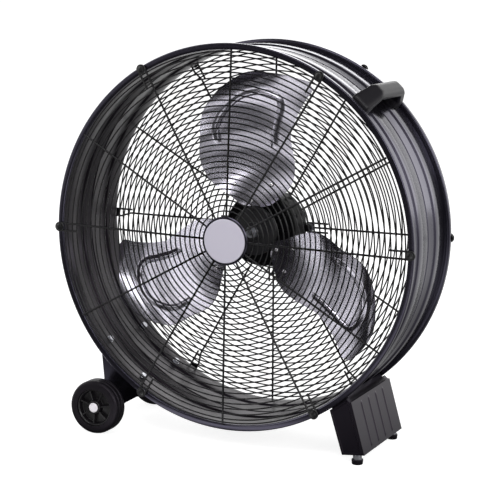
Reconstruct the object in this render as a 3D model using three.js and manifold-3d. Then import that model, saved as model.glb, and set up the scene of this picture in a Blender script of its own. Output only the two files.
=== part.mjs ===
// Drum fan on two wheels and two rubber feet. Millimetres, +Z up, front faces -Y, drum axis along Y.
import * as THREE from "three";
import { mergeVertices } from "three/addons/utils/BufferGeometryUtils.js";
import Module from "manifold-3d";

const wasm = await Module();
wasm.setup();

// ---- driving dimensions ----
const FIT = 0.3;               // clearance kept where turned or cut parts meet
const RIM_R = 330;             // outside radius of the rolled rims
const RIM_Y = 98;              // half the drum depth, rim face to rim face
const FLANGE = 9;              // how far the rims stand out from the drum wall
const GROUND_GAP = 31;         // clear height under the rims
const WALL_T = 2;              // drum sheet thickness
const RIB_RISE = 3;            // height of the two ribs pressed out round the drum
const RIB_HALF = 14;           // half their width
const DRUM_SEGMENTS = 48;

const AXIS_Z = RIM_R + GROUND_GAP;
const WALL_R = RIM_R - FLANGE;
const BORE_R = WALL_R - WALL_T;
const RIB_Y = RIM_Y - 55;

const RADIAL_WIRE_R = 2;       // guard radial wires
const RING_WIRE_R = 1.5;       // guard ring wires
const RADIAL_COUNT = 12;
const FRONT_DOME = 5;          // how far the front guard's centre stands proud of its edge
const REAR_DOME = -4;          // the rear guard is dished in towards the motor
const EYELET_COUNT = 6;
const EYELET_R = 6.5;          // centre line radius of the bent eyelets
const EYELET_LEG = 36;         // length of the short return leg
const EYELET_CIRCLE_R = RIM_R - 5;
const LAST_RING_R = WALL_R - 5;
const FRONT_RINGS = [30, LAST_RING_R - 219.4, LAST_RING_R - 154.5, LAST_RING_R - 80.4, LAST_RING_R];
const REAR_RINGS = [56.3, BORE_R - 208.2, BORE_R - 142.8, BORE_R - 77.4, BORE_R - 4.5];

const BADGE_R = 37.5;
const PLATE_R = BADGE_R + 4;
const PLATE_T = 2;
const BADGE_T = 2;

const MOTOR_R = 66;
const MOTOR_Y = [RIM_Y - 62, RIM_Y - 6];
const MOTOR_EYELETS_R = MOTOR_R + 2;   // circle of the motor fixings on the rear guard
const SHIELD_T = 8;
const BEARING_R = 17;
const ROTOR_R = 35;
const SHAFT_R = 8;
const STUB_R = 5;
const HUB_R = 42;
const HUB_T = 12;
const HUB_Y = [MOTOR_Y[0] - 28, MOTOR_Y[0] - 28 + HUB_T];
const NUT_T = 8.5;
const BLADE_T = 1.6;
const BLADE_ROOT = HUB_R + 4;
const BLADE_TIP = BORE_R - 40;
const BLADE_COUNT = 3;
const BLADE_FIRST = 86;        // direction of the first blade, degrees from +X towards +Z

const WHEEL_R = 47.5;
const WHEEL_X = -245;
const WHEEL_Y = [RIM_Y - 4.6, RIM_Y + 27.6]; // inner and outer faces of a wheel, from the middle
const AXLE_R = 6;
const WHEEL_HUB_R = 33;
const RIB_COUNT = 7;
const CAP_R = 8.5;
const CAP_Y = WHEEL_Y[1] + 1.4; // outer face of the caps, the deepest point of the fan

const BOX_HALF = RIM_Y - 5;    // half the length of the control box
const BOX_NECK = RIM_Y - 16;   // half the length of the part between the rims
const BOX_LOW_Z = 14;          // underside of the box, at its inner edge
const BOX_TOP_Z = 106;         // top edge of the cover
const BOX_X = Math.round(Math.sqrt(RIM_R ** 2 - (AXIS_Z - BOX_TOP_Z) ** 2)); // where the rim meets that height
const BOX_OUTER = [[BOX_X + 42, BOX_LOW_Z + 4], [BOX_X + 17, BOX_TOP_Z]];
const BOX_INNER = [[BOX_X + 2, BOX_LOW_Z], [BOX_X - 33, BOX_TOP_Z + 13]];
const COVER_T = 2.5;
const BOX_WALL = 2.5;
const FOOT_X = BOX_X + 27;
const FOOT_Y = BOX_HALF - 8;
const FOOT_R = 10;
const FOOT_H = 9;

const HANDLE_AT = 46.4;        // direction of the handle, degrees from +X towards +Z
const HANDLE_TOP = RIM_R + 31; // radius of the grip's top
const HANDLE_HALF = RIM_Y - 12;
const GRIP_T = 14;

// ---- materials ----
const paint = (color, metalness, roughness) => new THREE.MeshStandardMaterial({ color, metalness, roughness });
const BLACK_PAINT = paint(0x17161a, 0.3, 0.35);
const BLACK_WIRE = paint(0x111013, 0.3, 0.4);
const SILVER = paint(0xb6b3bd, 0.7, 0.4);
const ALUMINIUM = paint(0xa9a7b2, 0.9, 0.3);
const STEEL = paint(0x9a9aa0, 0.9, 0.35);
const ZINC = paint(0xb8bac0, 0.9, 0.3);
const RUBBER = paint(0x151417, 0, 0.8);
const PLASTIC = paint(0x1c1a1f, 0, 0.5);
const BOX_GREY = paint(0x4f4a55, 0.1, 0.5);
const WHITE = paint(0xece8ee, 0, 0.4);
const COPPER = paint(0x8a4b2c, 0.8, 0.4);

// ---- geometry helpers ----
const deg = (a) => (a * Math.PI) / 180;

function solid(geometry) {
  const g = geometry.clone();
  g.deleteAttribute("normal");
  if (g.attributes.uv) g.deleteAttribute("uv");
  const merged = mergeVertices(g, 1e-4);
  const pos = merged.attributes.position.array;
  const idx = merged.index.array;
  const tris = [];
  for (let i = 0; i < idx.length; i += 3) {
    const [a, b, c] = [idx[i], idx[i + 1], idx[i + 2]];
    if (a !== b && b !== c && a !== c) tris.push(a, b, c);
  }
  let volume = 0;
  for (let i = 0; i < tris.length; i += 3) {
    const [a, b, c] = [tris[i] * 3, tris[i + 1] * 3, tris[i + 2] * 3];
    volume += pos[a] * (pos[b + 1] * pos[c + 2] - pos[b + 2] * pos[c + 1]);
    volume += pos[a + 1] * (pos[b + 2] * pos[c] - pos[b] * pos[c + 2]);
    volume += pos[a + 2] * (pos[b] * pos[c + 1] - pos[b + 1] * pos[c]);
  }
  if (volume < 0) {
    for (let i = 0; i < tris.length; i += 3) {
      const keep = tris[i + 1];
      tris[i + 1] = tris[i + 2];
      tris[i + 2] = keep;
    }
  }
  const mesh = new wasm.Mesh({
    numProp: 3,
    vertProperties: new Float32Array(pos),
    triVerts: new Uint32Array(tris),
  });
  return new wasm.Manifold(mesh);
}

function join(parts) {
  let out = parts[0];
  for (let i = 1; i < parts.length; i += 1) out = out.add(parts[i]);
  return out;
}

function cut(body, tools) {
  let out = body;
  for (const tool of tools) out = out.subtract(tool);
  return out;
}

function turned(profile, segments, at = [0, 0, 0]) {
  const points = profile.map(([r, y]) => new THREE.Vector2(r, y));
  const g = new THREE.LatheGeometry(points, segments);
  g.translate(...at);
  return solid(g);
}

function loopTurned(profile, segments, at) {
  return turned([...profile, profile[0]], segments, at);
}

function drumAt() {
  return [0, 0, AXIS_Z];
}

function rod(from, to, radius, sides = 12, spin = 0) {
  const a = new THREE.Vector3(...from);
  const b = new THREE.Vector3(...to);
  const along = b.clone().sub(a);
  const g = new THREE.CylinderGeometry(radius, radius, along.length(), sides);
  g.rotateY(deg(spin));
  g.applyQuaternion(new THREE.Quaternion().setFromUnitVectors(new THREE.Vector3(0, 1, 0), along.normalize()));
  g.translate((a.x + b.x) / 2, (a.y + b.y) / 2, (a.z + b.z) / 2);
  return solid(g);
}

function rodY(x, z, y0, y1, radius, sides = 16) {
  const g = new THREE.CylinderGeometry(radius, radius, y1 - y0, sides);
  g.translate(x, (y0 + y1) / 2, z);
  return solid(g);
}

function prismY(points, y0, y1) {
  const shape = new THREE.Shape(points.map(([x, z]) => new THREE.Vector2(x, z)));
  const g = new THREE.ExtrudeGeometry(shape, { depth: y1 - y0, bevelEnabled: false, steps: 1 });
  g.rotateX(Math.PI / 2);
  g.translate(0, y1, 0);
  return solid(g);
}

function block(x0, x1, y0, y1, z0, z1) {
  const g = new THREE.BoxGeometry(x1 - x0, y1 - y0, z1 - z0);
  g.translate((x0 + x1) / 2, (y0 + y1) / 2, (z0 + z1) / 2);
  return solid(g);
}

function ringWire(radius, wire, y, segments, sides = 3) {
  const g = new THREE.TorusGeometry(radius, wire, sides, segments);
  g.rotateX(Math.PI / 2);
  g.translate(0, y, AXIS_Z);
  return solid(g);
}

function polar(radius, angle, y) {
  return [radius * Math.cos(deg(angle)), y, AXIS_Z + radius * Math.sin(deg(angle))];
}

const group = new THREE.Group();

function node(name, body, material) {
  const data = body.getMesh();
  const g = new THREE.BufferGeometry();
  const count = data.vertProperties.length / data.numProp;
  const positions = new Float32Array(count * 3);
  for (let i = 0; i < count; i += 1) {
    for (let k = 0; k < 3; k += 1) positions[i * 3 + k] = data.vertProperties[i * data.numProp + k];
  }
  g.setAttribute("position", new THREE.BufferAttribute(positions, 3));
  g.setIndex(new THREE.BufferAttribute(new Uint32Array(data.triVerts), 1));
  g.computeVertexNormals();
  const mesh = new THREE.Mesh(g, material);
  mesh.name = name;
  group.add(mesh);
  return body;
}

// ---- drum ----
const BRACKET_AT = 227.7;      // direction of the wheel bracket on the drum
const BOLT_SPREAD = 8.2;
const BOLT_Y = RIM_Y - 35;
const BOLT_ANGLES = [BRACKET_AT - BOLT_SPREAD, BRACKET_AT + BOLT_SPREAD];
const HANDLE_SCREW_Y = HANDLE_HALF - 6.5;
const SCREW_SHANK_R = 2.4;
const BOLT_SHANK_R = 3;

function rimProfile() {
  return [
    [WALL_R, RIM_Y - 10.8], [WALL_R + 4, RIM_Y - 10.4], [RIM_R - 1, RIM_Y - 8], [RIM_R, RIM_Y - 4.5],
    [RIM_R - 1, RIM_Y - 1.4], [RIM_R - 3.5, RIM_Y], [WALL_R + 2.5, RIM_Y], [WALL_R - 0.5, RIM_Y - 1.2],
    [BORE_R, RIM_Y - 4],
  ];
}

function drumProfile() {
  const end = rimProfile();
  const outside = [];
  const inside = [];
  for (const y of [-RIB_Y, RIB_Y]) {
    for (const [face, list] of [[WALL_R, outside], [BORE_R, inside]]) {
      list.push([face, y - RIB_HALF], [face + RIB_RISE, y - RIB_HALF + 4]);
      list.push([face + RIB_RISE, y + RIB_HALF - 4], [face, y + RIB_HALF]);
    }
  }
  const front = end.map(([r, y]) => [r, -y]).reverse();
  return [...outside, ...end, ...inside.reverse(), ...front];
}

function eyeletAngles() {
  return Array.from({ length: EYELET_COUNT }, (_, i) => i * (360 / EYELET_COUNT));
}

function drumShell() {
  const shell = loopTurned(drumProfile(), DRUM_SEGMENTS, drumAt());
  const holes = [];
  for (const side of [-1, 1]) {
    for (const a of eyeletAngles()) {
      const [from, to] = [side * (RIM_Y - 9), side * (RIM_Y + 12)];
      holes.push(rod(polar(EYELET_CIRCLE_R, a, from), polar(EYELET_CIRCLE_R, a, to), SCREW_SHANK_R + FIT, 8));
    }
    for (const a of BOLT_ANGLES) {
      const at = (r) => polar(r, a, side * BOLT_Y);
      holes.push(rod(at(BORE_R - 12), at(WALL_R + 11), BOLT_SHANK_R + FIT, 8));
    }
    const at = (r) => polar(r, HANDLE_AT, side * HANDLE_SCREW_Y);
    holes.push(rod(at(BORE_R - 12), at(WALL_R + 11), SCREW_SHANK_R + FIT, 8));
  }
  return cut(shell, holes);
}
node("drum_shell", drumShell(), BLACK_PAINT);

// ---- guards ----
const GUARD_EDGE_Y = RIM_Y + FIT + RADIAL_WIRE_R;

function guardY(radius, dome) {
  return GUARD_EDGE_Y + dome * (1 - radius / EYELET_CIRCLE_R);
}

function guardRing(radius, dome) {
  return ringWire(radius, RING_WIRE_R, guardY(radius, dome) - RADIAL_WIRE_R, radius > 0.8 * WALL_R ? 36 : 24);
}

function radialWire(dome, from, to, angle, shift = 0) {
  const away = [-Math.sin(deg(angle)) * shift, 0, Math.cos(deg(angle)) * shift];
  const at = (r) => polar(r, angle, guardY(r, dome)).map((v, i) => v + away[i]);
  return rod(at(from), at(to), RADIAL_WIRE_R, 4, 45);
}

function eyelet(dome, radius, angle, inward, side) {
  const [x, , z] = polar(radius, angle, 0);
  const g = new THREE.TorusGeometry(EYELET_R, RADIAL_WIRE_R, 4, 9);
  g.rotateX(Math.PI / 2);
  g.translate(x, guardY(radius, dome), z);
  const legTo = inward ? radius - EYELET_LEG : radius + EYELET_LEG;
  const leg = radialWire(dome, Math.min(radius, legTo), Math.max(radius, legTo), angle, side * EYELET_R);
  return solid(g).add(leg);
}

function frontRadials() {
  const wires = [];
  for (let i = 0; i < RADIAL_COUNT; i += 1) {
    const angle = i * (360 / RADIAL_COUNT);
    const hasEyelet = i % 2 === 0;
    const to = hasEyelet ? EYELET_CIRCLE_R : EYELET_CIRCLE_R - 5;
    wires.push(radialWire(FRONT_DOME, FRONT_RINGS[0] - 2, to, angle, hasEyelet ? -EYELET_R : 0));
    if (hasEyelet) wires.push(eyelet(FRONT_DOME, EYELET_CIRCLE_R, angle, true, 1));
  }
  return wires;
}

function rearRadials() {
  const wires = [];
  for (let i = 0; i < RADIAL_COUNT; i += 1) {
    const angle = i * (360 / RADIAL_COUNT);
    const outerEyelet = i % 2 === 0;
    const innerEyelet = i % 3 === 0;
    const shift = outerEyelet || innerEyelet ? EYELET_R : 0;
    const from = innerEyelet ? MOTOR_EYELETS_R : REAR_RINGS[0] - 2.3;
    const to = outerEyelet ? EYELET_CIRCLE_R : EYELET_CIRCLE_R - 5;
    wires.push(radialWire(REAR_DOME, from, to, angle, shift));
    if (outerEyelet) wires.push(eyelet(REAR_DOME, EYELET_CIRCLE_R, angle, true, -1));
    if (innerEyelet) wires.push(eyelet(REAR_DOME, MOTOR_EYELETS_R, angle, false, -1));
  }
  return wires;
}

function guard(radials, rings, dome) {
  return join([...radials, ...rings.map((radius) => guardRing(radius, dome))]);
}

function mirroredY(body) {
  return body.mirror([0, 1, 0]);
}
node("front_guard", mirroredY(guard(frontRadials(), FRONT_RINGS, FRONT_DOME)), BLACK_WIRE);
node("rear_guard", guard(rearRadials(), REAR_RINGS, REAR_DOME), BLACK_WIRE);

const PLATE_Y = guardY(0, FRONT_DOME) + RADIAL_WIRE_R + 0.1;
function centrePlate() {
  const y = PLATE_Y;
  return turned([[0, -y], [PLATE_R, -y], [PLATE_R, -y - 1.2], [PLATE_R - 1.2, -y - PLATE_T], [0, -y - PLATE_T]],
    32, drumAt());
}
function badge() {
  const y = PLATE_Y + PLATE_T;
  return turned([[0, -y], [BADGE_R, -y], [BADGE_R, -y - 1], [BADGE_R - 1.6, -y - BADGE_T], [0, -y - BADGE_T]],
    32, drumAt());
}
node("guard_centre_plate", centrePlate(), BLACK_PAINT);
node("front_badge", badge(), SILVER);

const SCREW_HEAD_R = 5.6;
function guardScrew(radius, angle, side) {
  const under = guardY(radius, side < 0 ? FRONT_DOME : REAR_DOME) + RADIAL_WIRE_R + 0.1;
  const head = rod(polar(radius, angle, side * under), polar(radius, angle, side * (under + 2.6)), SCREW_HEAD_R, 8);
  const tip = radius > MOTOR_EYELETS_R ? RIM_Y - 8 : MOTOR_Y[1] + 2;
  const shank = rod(polar(radius, angle, side * tip), polar(radius, angle, side * (under + 1)), SCREW_SHANK_R, 6);
  return head.add(shank);
}
eyeletAngles().forEach((a, i) => {
  node(`front_guard_screw_${i + 1}`, guardScrew(EYELET_CIRCLE_R, a, -1), ZINC);
  node(`rear_guard_screw_${i + 1}`, guardScrew(EYELET_CIRCLE_R, a, 1), ZINC);
});

// ---- motor ----
const MOTOR_LUG_R = 6;
const MOTOR_LUG_Y = guardY(MOTOR_EYELETS_R, REAR_DOME) - RADIAL_WIRE_R - 0.1;
const LUG_ANGLES = [0, 90, 180, 270];

function motorShell() {
  const [y0, y1] = [MOTOR_Y[0] + SHIELD_T, MOTOR_Y[1] - SHIELD_T];
  return loopTurned([[MOTOR_R - 2, y0], [MOTOR_R, y0], [MOTOR_R, y1], [MOTOR_R - 2, y1]], 28, drumAt());
}

function frontShield() {
  const [y0, y1] = [MOTOR_Y[0], MOTOR_Y[0] + SHIELD_T];
  const hole = BEARING_R + FIT;
  return loopTurned([[hole, y0], [MOTOR_R - 5, y0], [MOTOR_R, y0 + 5], [MOTOR_R, y1], [hole, y1]], 28, drumAt());
}

function rearShield() {
  const [y0, y1] = [MOTOR_Y[1] - SHIELD_T, MOTOR_Y[1]];
  const hole = BEARING_R + FIT;
  const disc = loopTurned([[hole, y0], [MOTOR_R, y0], [MOTOR_R, y1 - 3], [MOTOR_R - 3, y1], [hole, y1]], 28, drumAt());
  const lugs = LUG_ANGLES.map((a) => {
    const [x, , z] = polar(MOTOR_EYELETS_R, a, 0);
    return rodY(x, z, y0 + 1, MOTOR_LUG_Y, MOTOR_LUG_R, 10);
  });
  const holes = LUG_ANGLES.map((a) => {
    const [x, , z] = polar(MOTOR_EYELETS_R, a, 0);
    return rodY(x, z, MOTOR_Y[1] + 1, MOTOR_LUG_Y + 5, SCREW_SHANK_R + FIT, 8);
  });
  return cut(join([disc, ...lugs]), holes);
}

function tube(inner, outer, y0, y1, segments = 28) {
  return loopTurned([[inner, y0], [outer, y0], [outer, y1], [inner, y1]], segments, drumAt());
}

node("motor_shell", motorShell(), BLACK_PAINT);
node("motor_front_shield", frontShield(), BLACK_PAINT);
node("motor_rear_shield", rearShield(), BLACK_PAINT);
const CORE_Y = [MOTOR_Y[0] + 14, MOTOR_Y[1] - 14];
node("stator_core", tube(ROTOR_R + 1, MOTOR_R - 2 - FIT, ...CORE_Y), STEEL);
node("front_bearing", tube(SHAFT_R + FIT, BEARING_R, MOTOR_Y[0] + 0.5, MOTOR_Y[0] + 7.5, 24), STEEL);
node("rear_bearing", tube(SHAFT_R + FIT, BEARING_R, MOTOR_Y[1] - 7.5, MOTOR_Y[1] - 0.5, 24), STEEL);
LUG_ANGLES.forEach((a, i) => {
  node(`motor_mount_screw_${i + 1}`, guardScrew(MOTOR_EYELETS_R, a, 1), ZINC);
});

// ---- impeller ----
const DRAWN_ROOT = 46;
const DRAWN_TIP = 279;
const DRAWN_HUB_Y = 8;
const DRAWN_STATIONS = [
  // radius; leading and trailing edge, degrees from the blade's own direction; y of each edge
  [38, -16, 10, 17, -2.5], [46, -16, 10, 17, -2.5], [50, -22, 19, 21, -9], [56, -26, 24, 24, -13.5],
  [64, -29, 27, 26.5, -18], [75, -31, 31, 28, -24], [95, -33, 37, 30, -31], [115, -31, 39.5, 30, -32],
  [140, -24.7, 39, 29, -33], [160, -19.5, 35.5, 26, -36], [180, -16, 31, 24, -38], [203, -15.5, 28, 25, -36],
  [225, -16, 24.3, 25, -32], [248, -17, 17, 24, -31], [267, -18, 9, 24, -31], [279, -16, 3, 22, -30],
];
const CAMBER = 7;

function stationR(drawn) {
  if (drawn <= DRAWN_ROOT) return drawn - DRAWN_ROOT + BLADE_ROOT;
  return BLADE_ROOT + ((drawn - DRAWN_ROOT) * (BLADE_TIP - BLADE_ROOT)) / (DRAWN_TIP - DRAWN_ROOT);
}

const BLADE_STATIONS = DRAWN_STATIONS.map(([r, lead, trail, leadY, trailY]) => {
  const along = HUB_Y[0] - DRAWN_HUB_Y;
  return [stationR(r), lead, trail, leadY + along, trailY + along];
});

function bladeRow(radius) {
  const next = Math.max(1, BLADE_STATIONS.findIndex((row) => row[0] >= radius));
  const [from, to] = [BLADE_STATIONS[next - 1], BLADE_STATIONS[next]];
  const t = (radius - from[0]) / (to[0] - from[0]);
  return from.map((v, i) => v + (to[i] - v) * t);
}

function bladeY(radius, angle) {
  const [, lead, trail, leadY, trailY] = bladeRow(radius);
  const u = (angle - lead) / (trail - lead);
  const out = Math.max(0, radius - BLADE_ROOT) / (BLADE_TIP - BLADE_ROOT);
  const bow = CAMBER * out * 4 * Math.max(0, u * (1 - u));
  return leadY + (trailY - leadY) * u + bow;
}

// a twisted sheet over the stations, between two shares of the way from leading to trailing edge
function sheetOf(stations, [from, to], columns, offset, thickness, turn) {
  const rows = stations.length;
  const verts = [];
  const at = (i, j, side) => {
    const [r, lead, trail] = stations[i];
    const a = lead + (trail - lead) * (from + ((to - from) * j) / columns);
    return polar(r, a + turn, bladeY(r, a) + offset + side * (thickness / 2));
  };
  for (const side of [-1, 1]) {
    for (let i = 0; i < rows; i += 1) {
      for (let j = 0; j <= columns; j += 1) verts.push(...at(i, j, side));
    }
  }
  const w = columns + 1;
  const id = (side, i, j) => side * rows * w + i * w + j;
  const tris = [];
  const quad = (a, b, c, d) => tris.push(a, b, c, a, c, d);
  for (let i = 0; i < rows - 1; i += 1) {
    for (let j = 0; j < columns; j += 1) {
      quad(id(0, i, j), id(0, i + 1, j), id(0, i + 1, j + 1), id(0, i, j + 1));
      quad(id(1, i, j), id(1, i, j + 1), id(1, i + 1, j + 1), id(1, i + 1, j));
    }
    quad(id(0, i, 0), id(1, i, 0), id(1, i + 1, 0), id(0, i + 1, 0));
    quad(id(0, i, columns), id(0, i + 1, columns), id(1, i + 1, columns), id(1, i, columns));
  }
  for (let j = 0; j < columns; j += 1) {
    quad(id(0, 0, j), id(0, 0, j + 1), id(1, 0, j + 1), id(1, 0, j));
    quad(id(0, rows - 1, j), id(1, rows - 1, j), id(1, rows - 1, j + 1), id(0, rows - 1, j + 1));
  }
  const g = new THREE.BufferGeometry();
  g.setAttribute("position", new THREE.BufferAttribute(new Float32Array(verts), 3));
  g.setIndex(tris);
  return solid(g);
}

function bladeTurn(i) {
  return BLADE_FIRST + i * (360 / BLADE_COUNT);
}

function blade(i) {
  const rows = BLADE_STATIONS.filter(([r]) => r >= BLADE_ROOT);
  return sheetOf(rows, [0, 1], 6, 0, BLADE_T, bladeTurn(i));
}

const ARM_T = 3;
const ARM_REACH = stationR(95);
function hubArm(i) {
  const rows = BLADE_STATIONS.filter(([r]) => r <= ARM_REACH);
  return sheetOf(rows, [1 / 6, 5 / 6], 4, BLADE_T / 2 + FIT + ARM_T / 2, ARM_T, bladeTurn(i));
}

function bladeHub() {
  const [y0, y1] = HUB_Y;
  const bore = SHAFT_R + FIT;
  const boss = SHAFT_R + 8;
  const body = loopTurned([[bore, y0 - 3], [boss, y0 - 3], [boss + 1, y0], [HUB_R, y0 + 2], [HUB_R, y1 - 1],
    [boss + 4, y1], [boss + 3, y1 + 5], [bore, y1 + 5]], 28, drumAt());
  return join([body, ...[0, 1, 2].map(hubArm)]);
}

function motorShaft() {
  const y = HUB_Y[0] - 3;
  const tip = y - NUT_T - 4.5;
  return turned([[0, tip], [STUB_R, tip], [STUB_R, y], [SHAFT_R, y], [SHAFT_R, MOTOR_Y[1] - 1], [0, MOTOR_Y[1] - 1]],
    24, drumAt());
}

function hubNut() {
  const hex = new THREE.CylinderGeometry(STUB_R + 6, STUB_R + 6, NUT_T, 6);
  const middle = HUB_Y[0] - 3 - NUT_T / 2;
  hex.translate(0, middle, AXIS_Z);
  return solid(hex).subtract(rodY(0, AXIS_Z, middle - NUT_T, middle + NUT_T, STUB_R + FIT, 16));
}

node("motor_shaft", motorShaft(), STEEL);
node("rotor_core", tube(SHAFT_R + FIT, ROTOR_R, ...CORE_Y), STEEL);
node("blade_hub", bladeHub(), STEEL);
for (let i = 0; i < BLADE_COUNT; i += 1) node(`blade_${i + 1}`, blade(i), ALUMINIUM);
node("hub_nut", hubNut(), ZINC);

// ---- wheel bracket, axle and wheels ----
const GUSSET_Y = [44, 46.5];
const SADDLE_R = [WALL_R + RIB_RISE + 1, WALL_R + RIB_RISE + 3.5];
const SADDLE_ARC = [BRACKET_AT - 16.5, BRACKET_AT + 14];
const SADDLE_HALF = RIM_Y - 20;
const GUSSET_LOBE = [           // lower edge of a gusset plate, from the wheel's centre
  [54, 8.5], [44, 6.5], [20, -7.5], [9, -16.5], [-2, -18.5], [-12, -14.5], [-19, -5.5], [-20, 7.5],
];

function arcPoints(radius, from, to, steps) {
  return Array.from({ length: steps + 1 }, (_, i) => {
    const [x, , z] = polar(radius, from + ((to - from) * i) / steps, 0);
    return [x, z];
  });
}

function wheelBracket() {
  const saddle = prismY([...arcPoints(SADDLE_R[1], ...SADDLE_ARC, 8), ...arcPoints(SADDLE_R[0], ...SADDLE_ARC, 8).reverse()],
    -SADDLE_HALF, SADDLE_HALF);
  const outline = [
    ...arcPoints(SADDLE_R[0] + 1, ...SADDLE_ARC, 8),
    ...GUSSET_LOBE.map(([x, z]) => [WHEEL_X + x, WHEEL_R + z]),
  ];
  const gussets = [-1, 1].map((s) => prismY(outline, Math.min(s * GUSSET_Y[0], s * GUSSET_Y[1]),
    Math.max(s * GUSSET_Y[0], s * GUSSET_Y[1])));
  const tubeOut = rodY(WHEEL_X, WHEEL_R, -WHEEL_Y[0] + 1, WHEEL_Y[0] - 1, AXLE_R + 4, 18);
  const bore = rodY(WHEEL_X, WHEEL_R, -CAP_Y, CAP_Y, AXLE_R + FIT, 18);
  const holes = [];
  for (const s of [-1, 1]) {
    for (const a of BOLT_ANGLES) {
      holes.push(rod(polar(BORE_R - 12, a, s * BOLT_Y), polar(RIM_R, a, s * BOLT_Y), BOLT_SHANK_R + FIT, 8));
    }
  }
  return cut(join([saddle, ...gussets, tubeOut]), [bore, ...holes]);
}

function bracketBolt(angle, y) {
  const head = rod(polar(BORE_R - 5.5, angle, y), polar(BORE_R - 1.2, angle, y), 6, 6);
  const shank = rod(polar(BORE_R - 2, angle, y), polar(SADDLE_R[1] + 4, angle, y), BOLT_SHANK_R, 8);
  const nut = rod(polar(SADDLE_R[1] + 0.3, angle, y), polar(SADDLE_R[1] + 5, angle, y), 6, 6);
  return join([head, shank, nut]);
}

function wheelTyre(side) {
  const [a, b] = WHEEL_Y;
  const seat = WHEEL_HUB_R + FIT;
  const section = [[seat, a], [WHEEL_R - 4, a], [WHEEL_R, a + 6], [WHEEL_R, b - 6], [WHEEL_R - 4, b], [seat, b]];
  return loopTurned(section.map(([r, y]) => [r, side * y]), 32, [WHEEL_X, 0, WHEEL_R]);
}

function wheelHub(side) {
  const [a, b] = WHEEL_Y;
  const mid = (a + b) / 2;
  const [bore, boss, web] = [AXLE_R + FIT, AXLE_R + 7, WHEEL_HUB_R - 6];
  const section = [
    [bore, a + 0.5], [boss - 1, a + 0.5], [boss, mid - 5], [web, mid - 5], [web + 2, a + 2], [WHEEL_HUB_R, a + 2],
    [WHEEL_HUB_R, b - 2], [web + 2, b - 2], [web, mid + 5], [boss, mid + 5], [boss - 2, b - 1.5], [bore, b - 1.5],
  ];
  const ring = loopTurned(section.map(([r, y]) => [r, side * y]), 20, [WHEEL_X, 0, WHEEL_R]);
  const ribs = [];
  for (let i = 0; i < RIB_COUNT; i += 1) {
    const t = deg((360 / RIB_COUNT) * i + 8);
    const g = new THREE.BoxGeometry(web + 2 - (boss - 2), b - a - 7, 2.4);
    g.translate((web + boss) / 2, 0, 0);
    g.rotateY(-t);
    g.translate(WHEEL_X, side * mid, WHEEL_R);
    ribs.push(solid(g));
  }
  return join([ring, ...ribs]);
}

node("wheel_bracket", wheelBracket(), BLACK_PAINT);
let boltNumber = 0;
for (const y of [-BOLT_Y, BOLT_Y]) {
  for (const a of BOLT_ANGLES) {
    boltNumber += 1;
    node(`bracket_bolt_${boltNumber}`, bracketBolt(a, y), ZINC);
  }
}
node("wheel_axle", rodY(WHEEL_X, WHEEL_R, -CAP_Y + 2.6, CAP_Y - 2.6, AXLE_R, 18), STEEL);
for (const [name, side] of [["front", -1], ["rear", 1]]) {
  node(`${name}_wheel_tyre`, wheelTyre(side), RUBBER);
  node(`${name}_wheel_hub`, wheelHub(side), PLASTIC);
  const [c0, c1] = [CAP_Y - 2.4, CAP_Y];
  const cap = turned([[0, side * c0], [CAP_R, side * c0], [CAP_R, side * (c1 - 1)], [CAP_R - 2, side * c1], [0, side * c1]],
    20, [WHEEL_X, 0, WHEEL_R]);
  node(`${name}_axle_cap`, cap, WHITE);
}

// ---- control box and feet ----
const [[AX, AZ], [DX, DZ]] = BOX_OUTER;
const [[BX, BZ], [CX, CZ]] = BOX_INNER;
const FACE_LEN = Math.hypot(DX - AX, DZ - AZ);
const FACE_N = [(DZ - AZ) / FACE_LEN, (AX - DX) / FACE_LEN];

function inFrom(point, depth) {
  return [point[0] - FACE_N[0] * depth, point[1] - FACE_N[1] * depth];
}

function lowAt(depth) {
  const share = depth / ((AX - BX) * FACE_N[0] + (AZ - BZ) * FACE_N[1]);
  return [AX + (BX - AX) * share, AZ + (BZ - AZ) * share];
}

function boxOutline(depth) {
  return [lowAt(depth), inFrom([DX, DZ], depth), [BOX_X - 13, BOX_TOP_Z + 21], [CX, CZ + 6], [BX, BZ]];
}

function nearDrum(radius) {
  return rodY(0, AXIS_Z, -CAP_Y - 20, CAP_Y + 20, radius, 72);
}

function boxBody(depth) {
  const wide = prismY(boxOutline(depth), -BOX_HALF, BOX_HALF).subtract(nearDrum(RIM_R + 1.6));
  const neck = prismY(boxOutline(depth), -BOX_NECK, BOX_NECK).subtract(nearDrum(WALL_R + RIB_RISE + 0.8));
  return wide.add(neck);
}

const KNOB_AT = [BOX_X + 8, 66];
const GLAND_AT = [BOX_X + 19, 34];
const STUD_R = 4;
const STEM_R = 3;
const SWITCH = [24, 26, 24];
const CAPACITOR_R = 12;
const CAPACITOR_LEN = 64;
const CAPACITOR_Z = 56;

function backWallX(z) {
  const lean = (CX - BX) / (CZ - BZ);
  return BX + (z - BZ) * lean + BOX_WALL * Math.hypot(1, lean);
}

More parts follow.
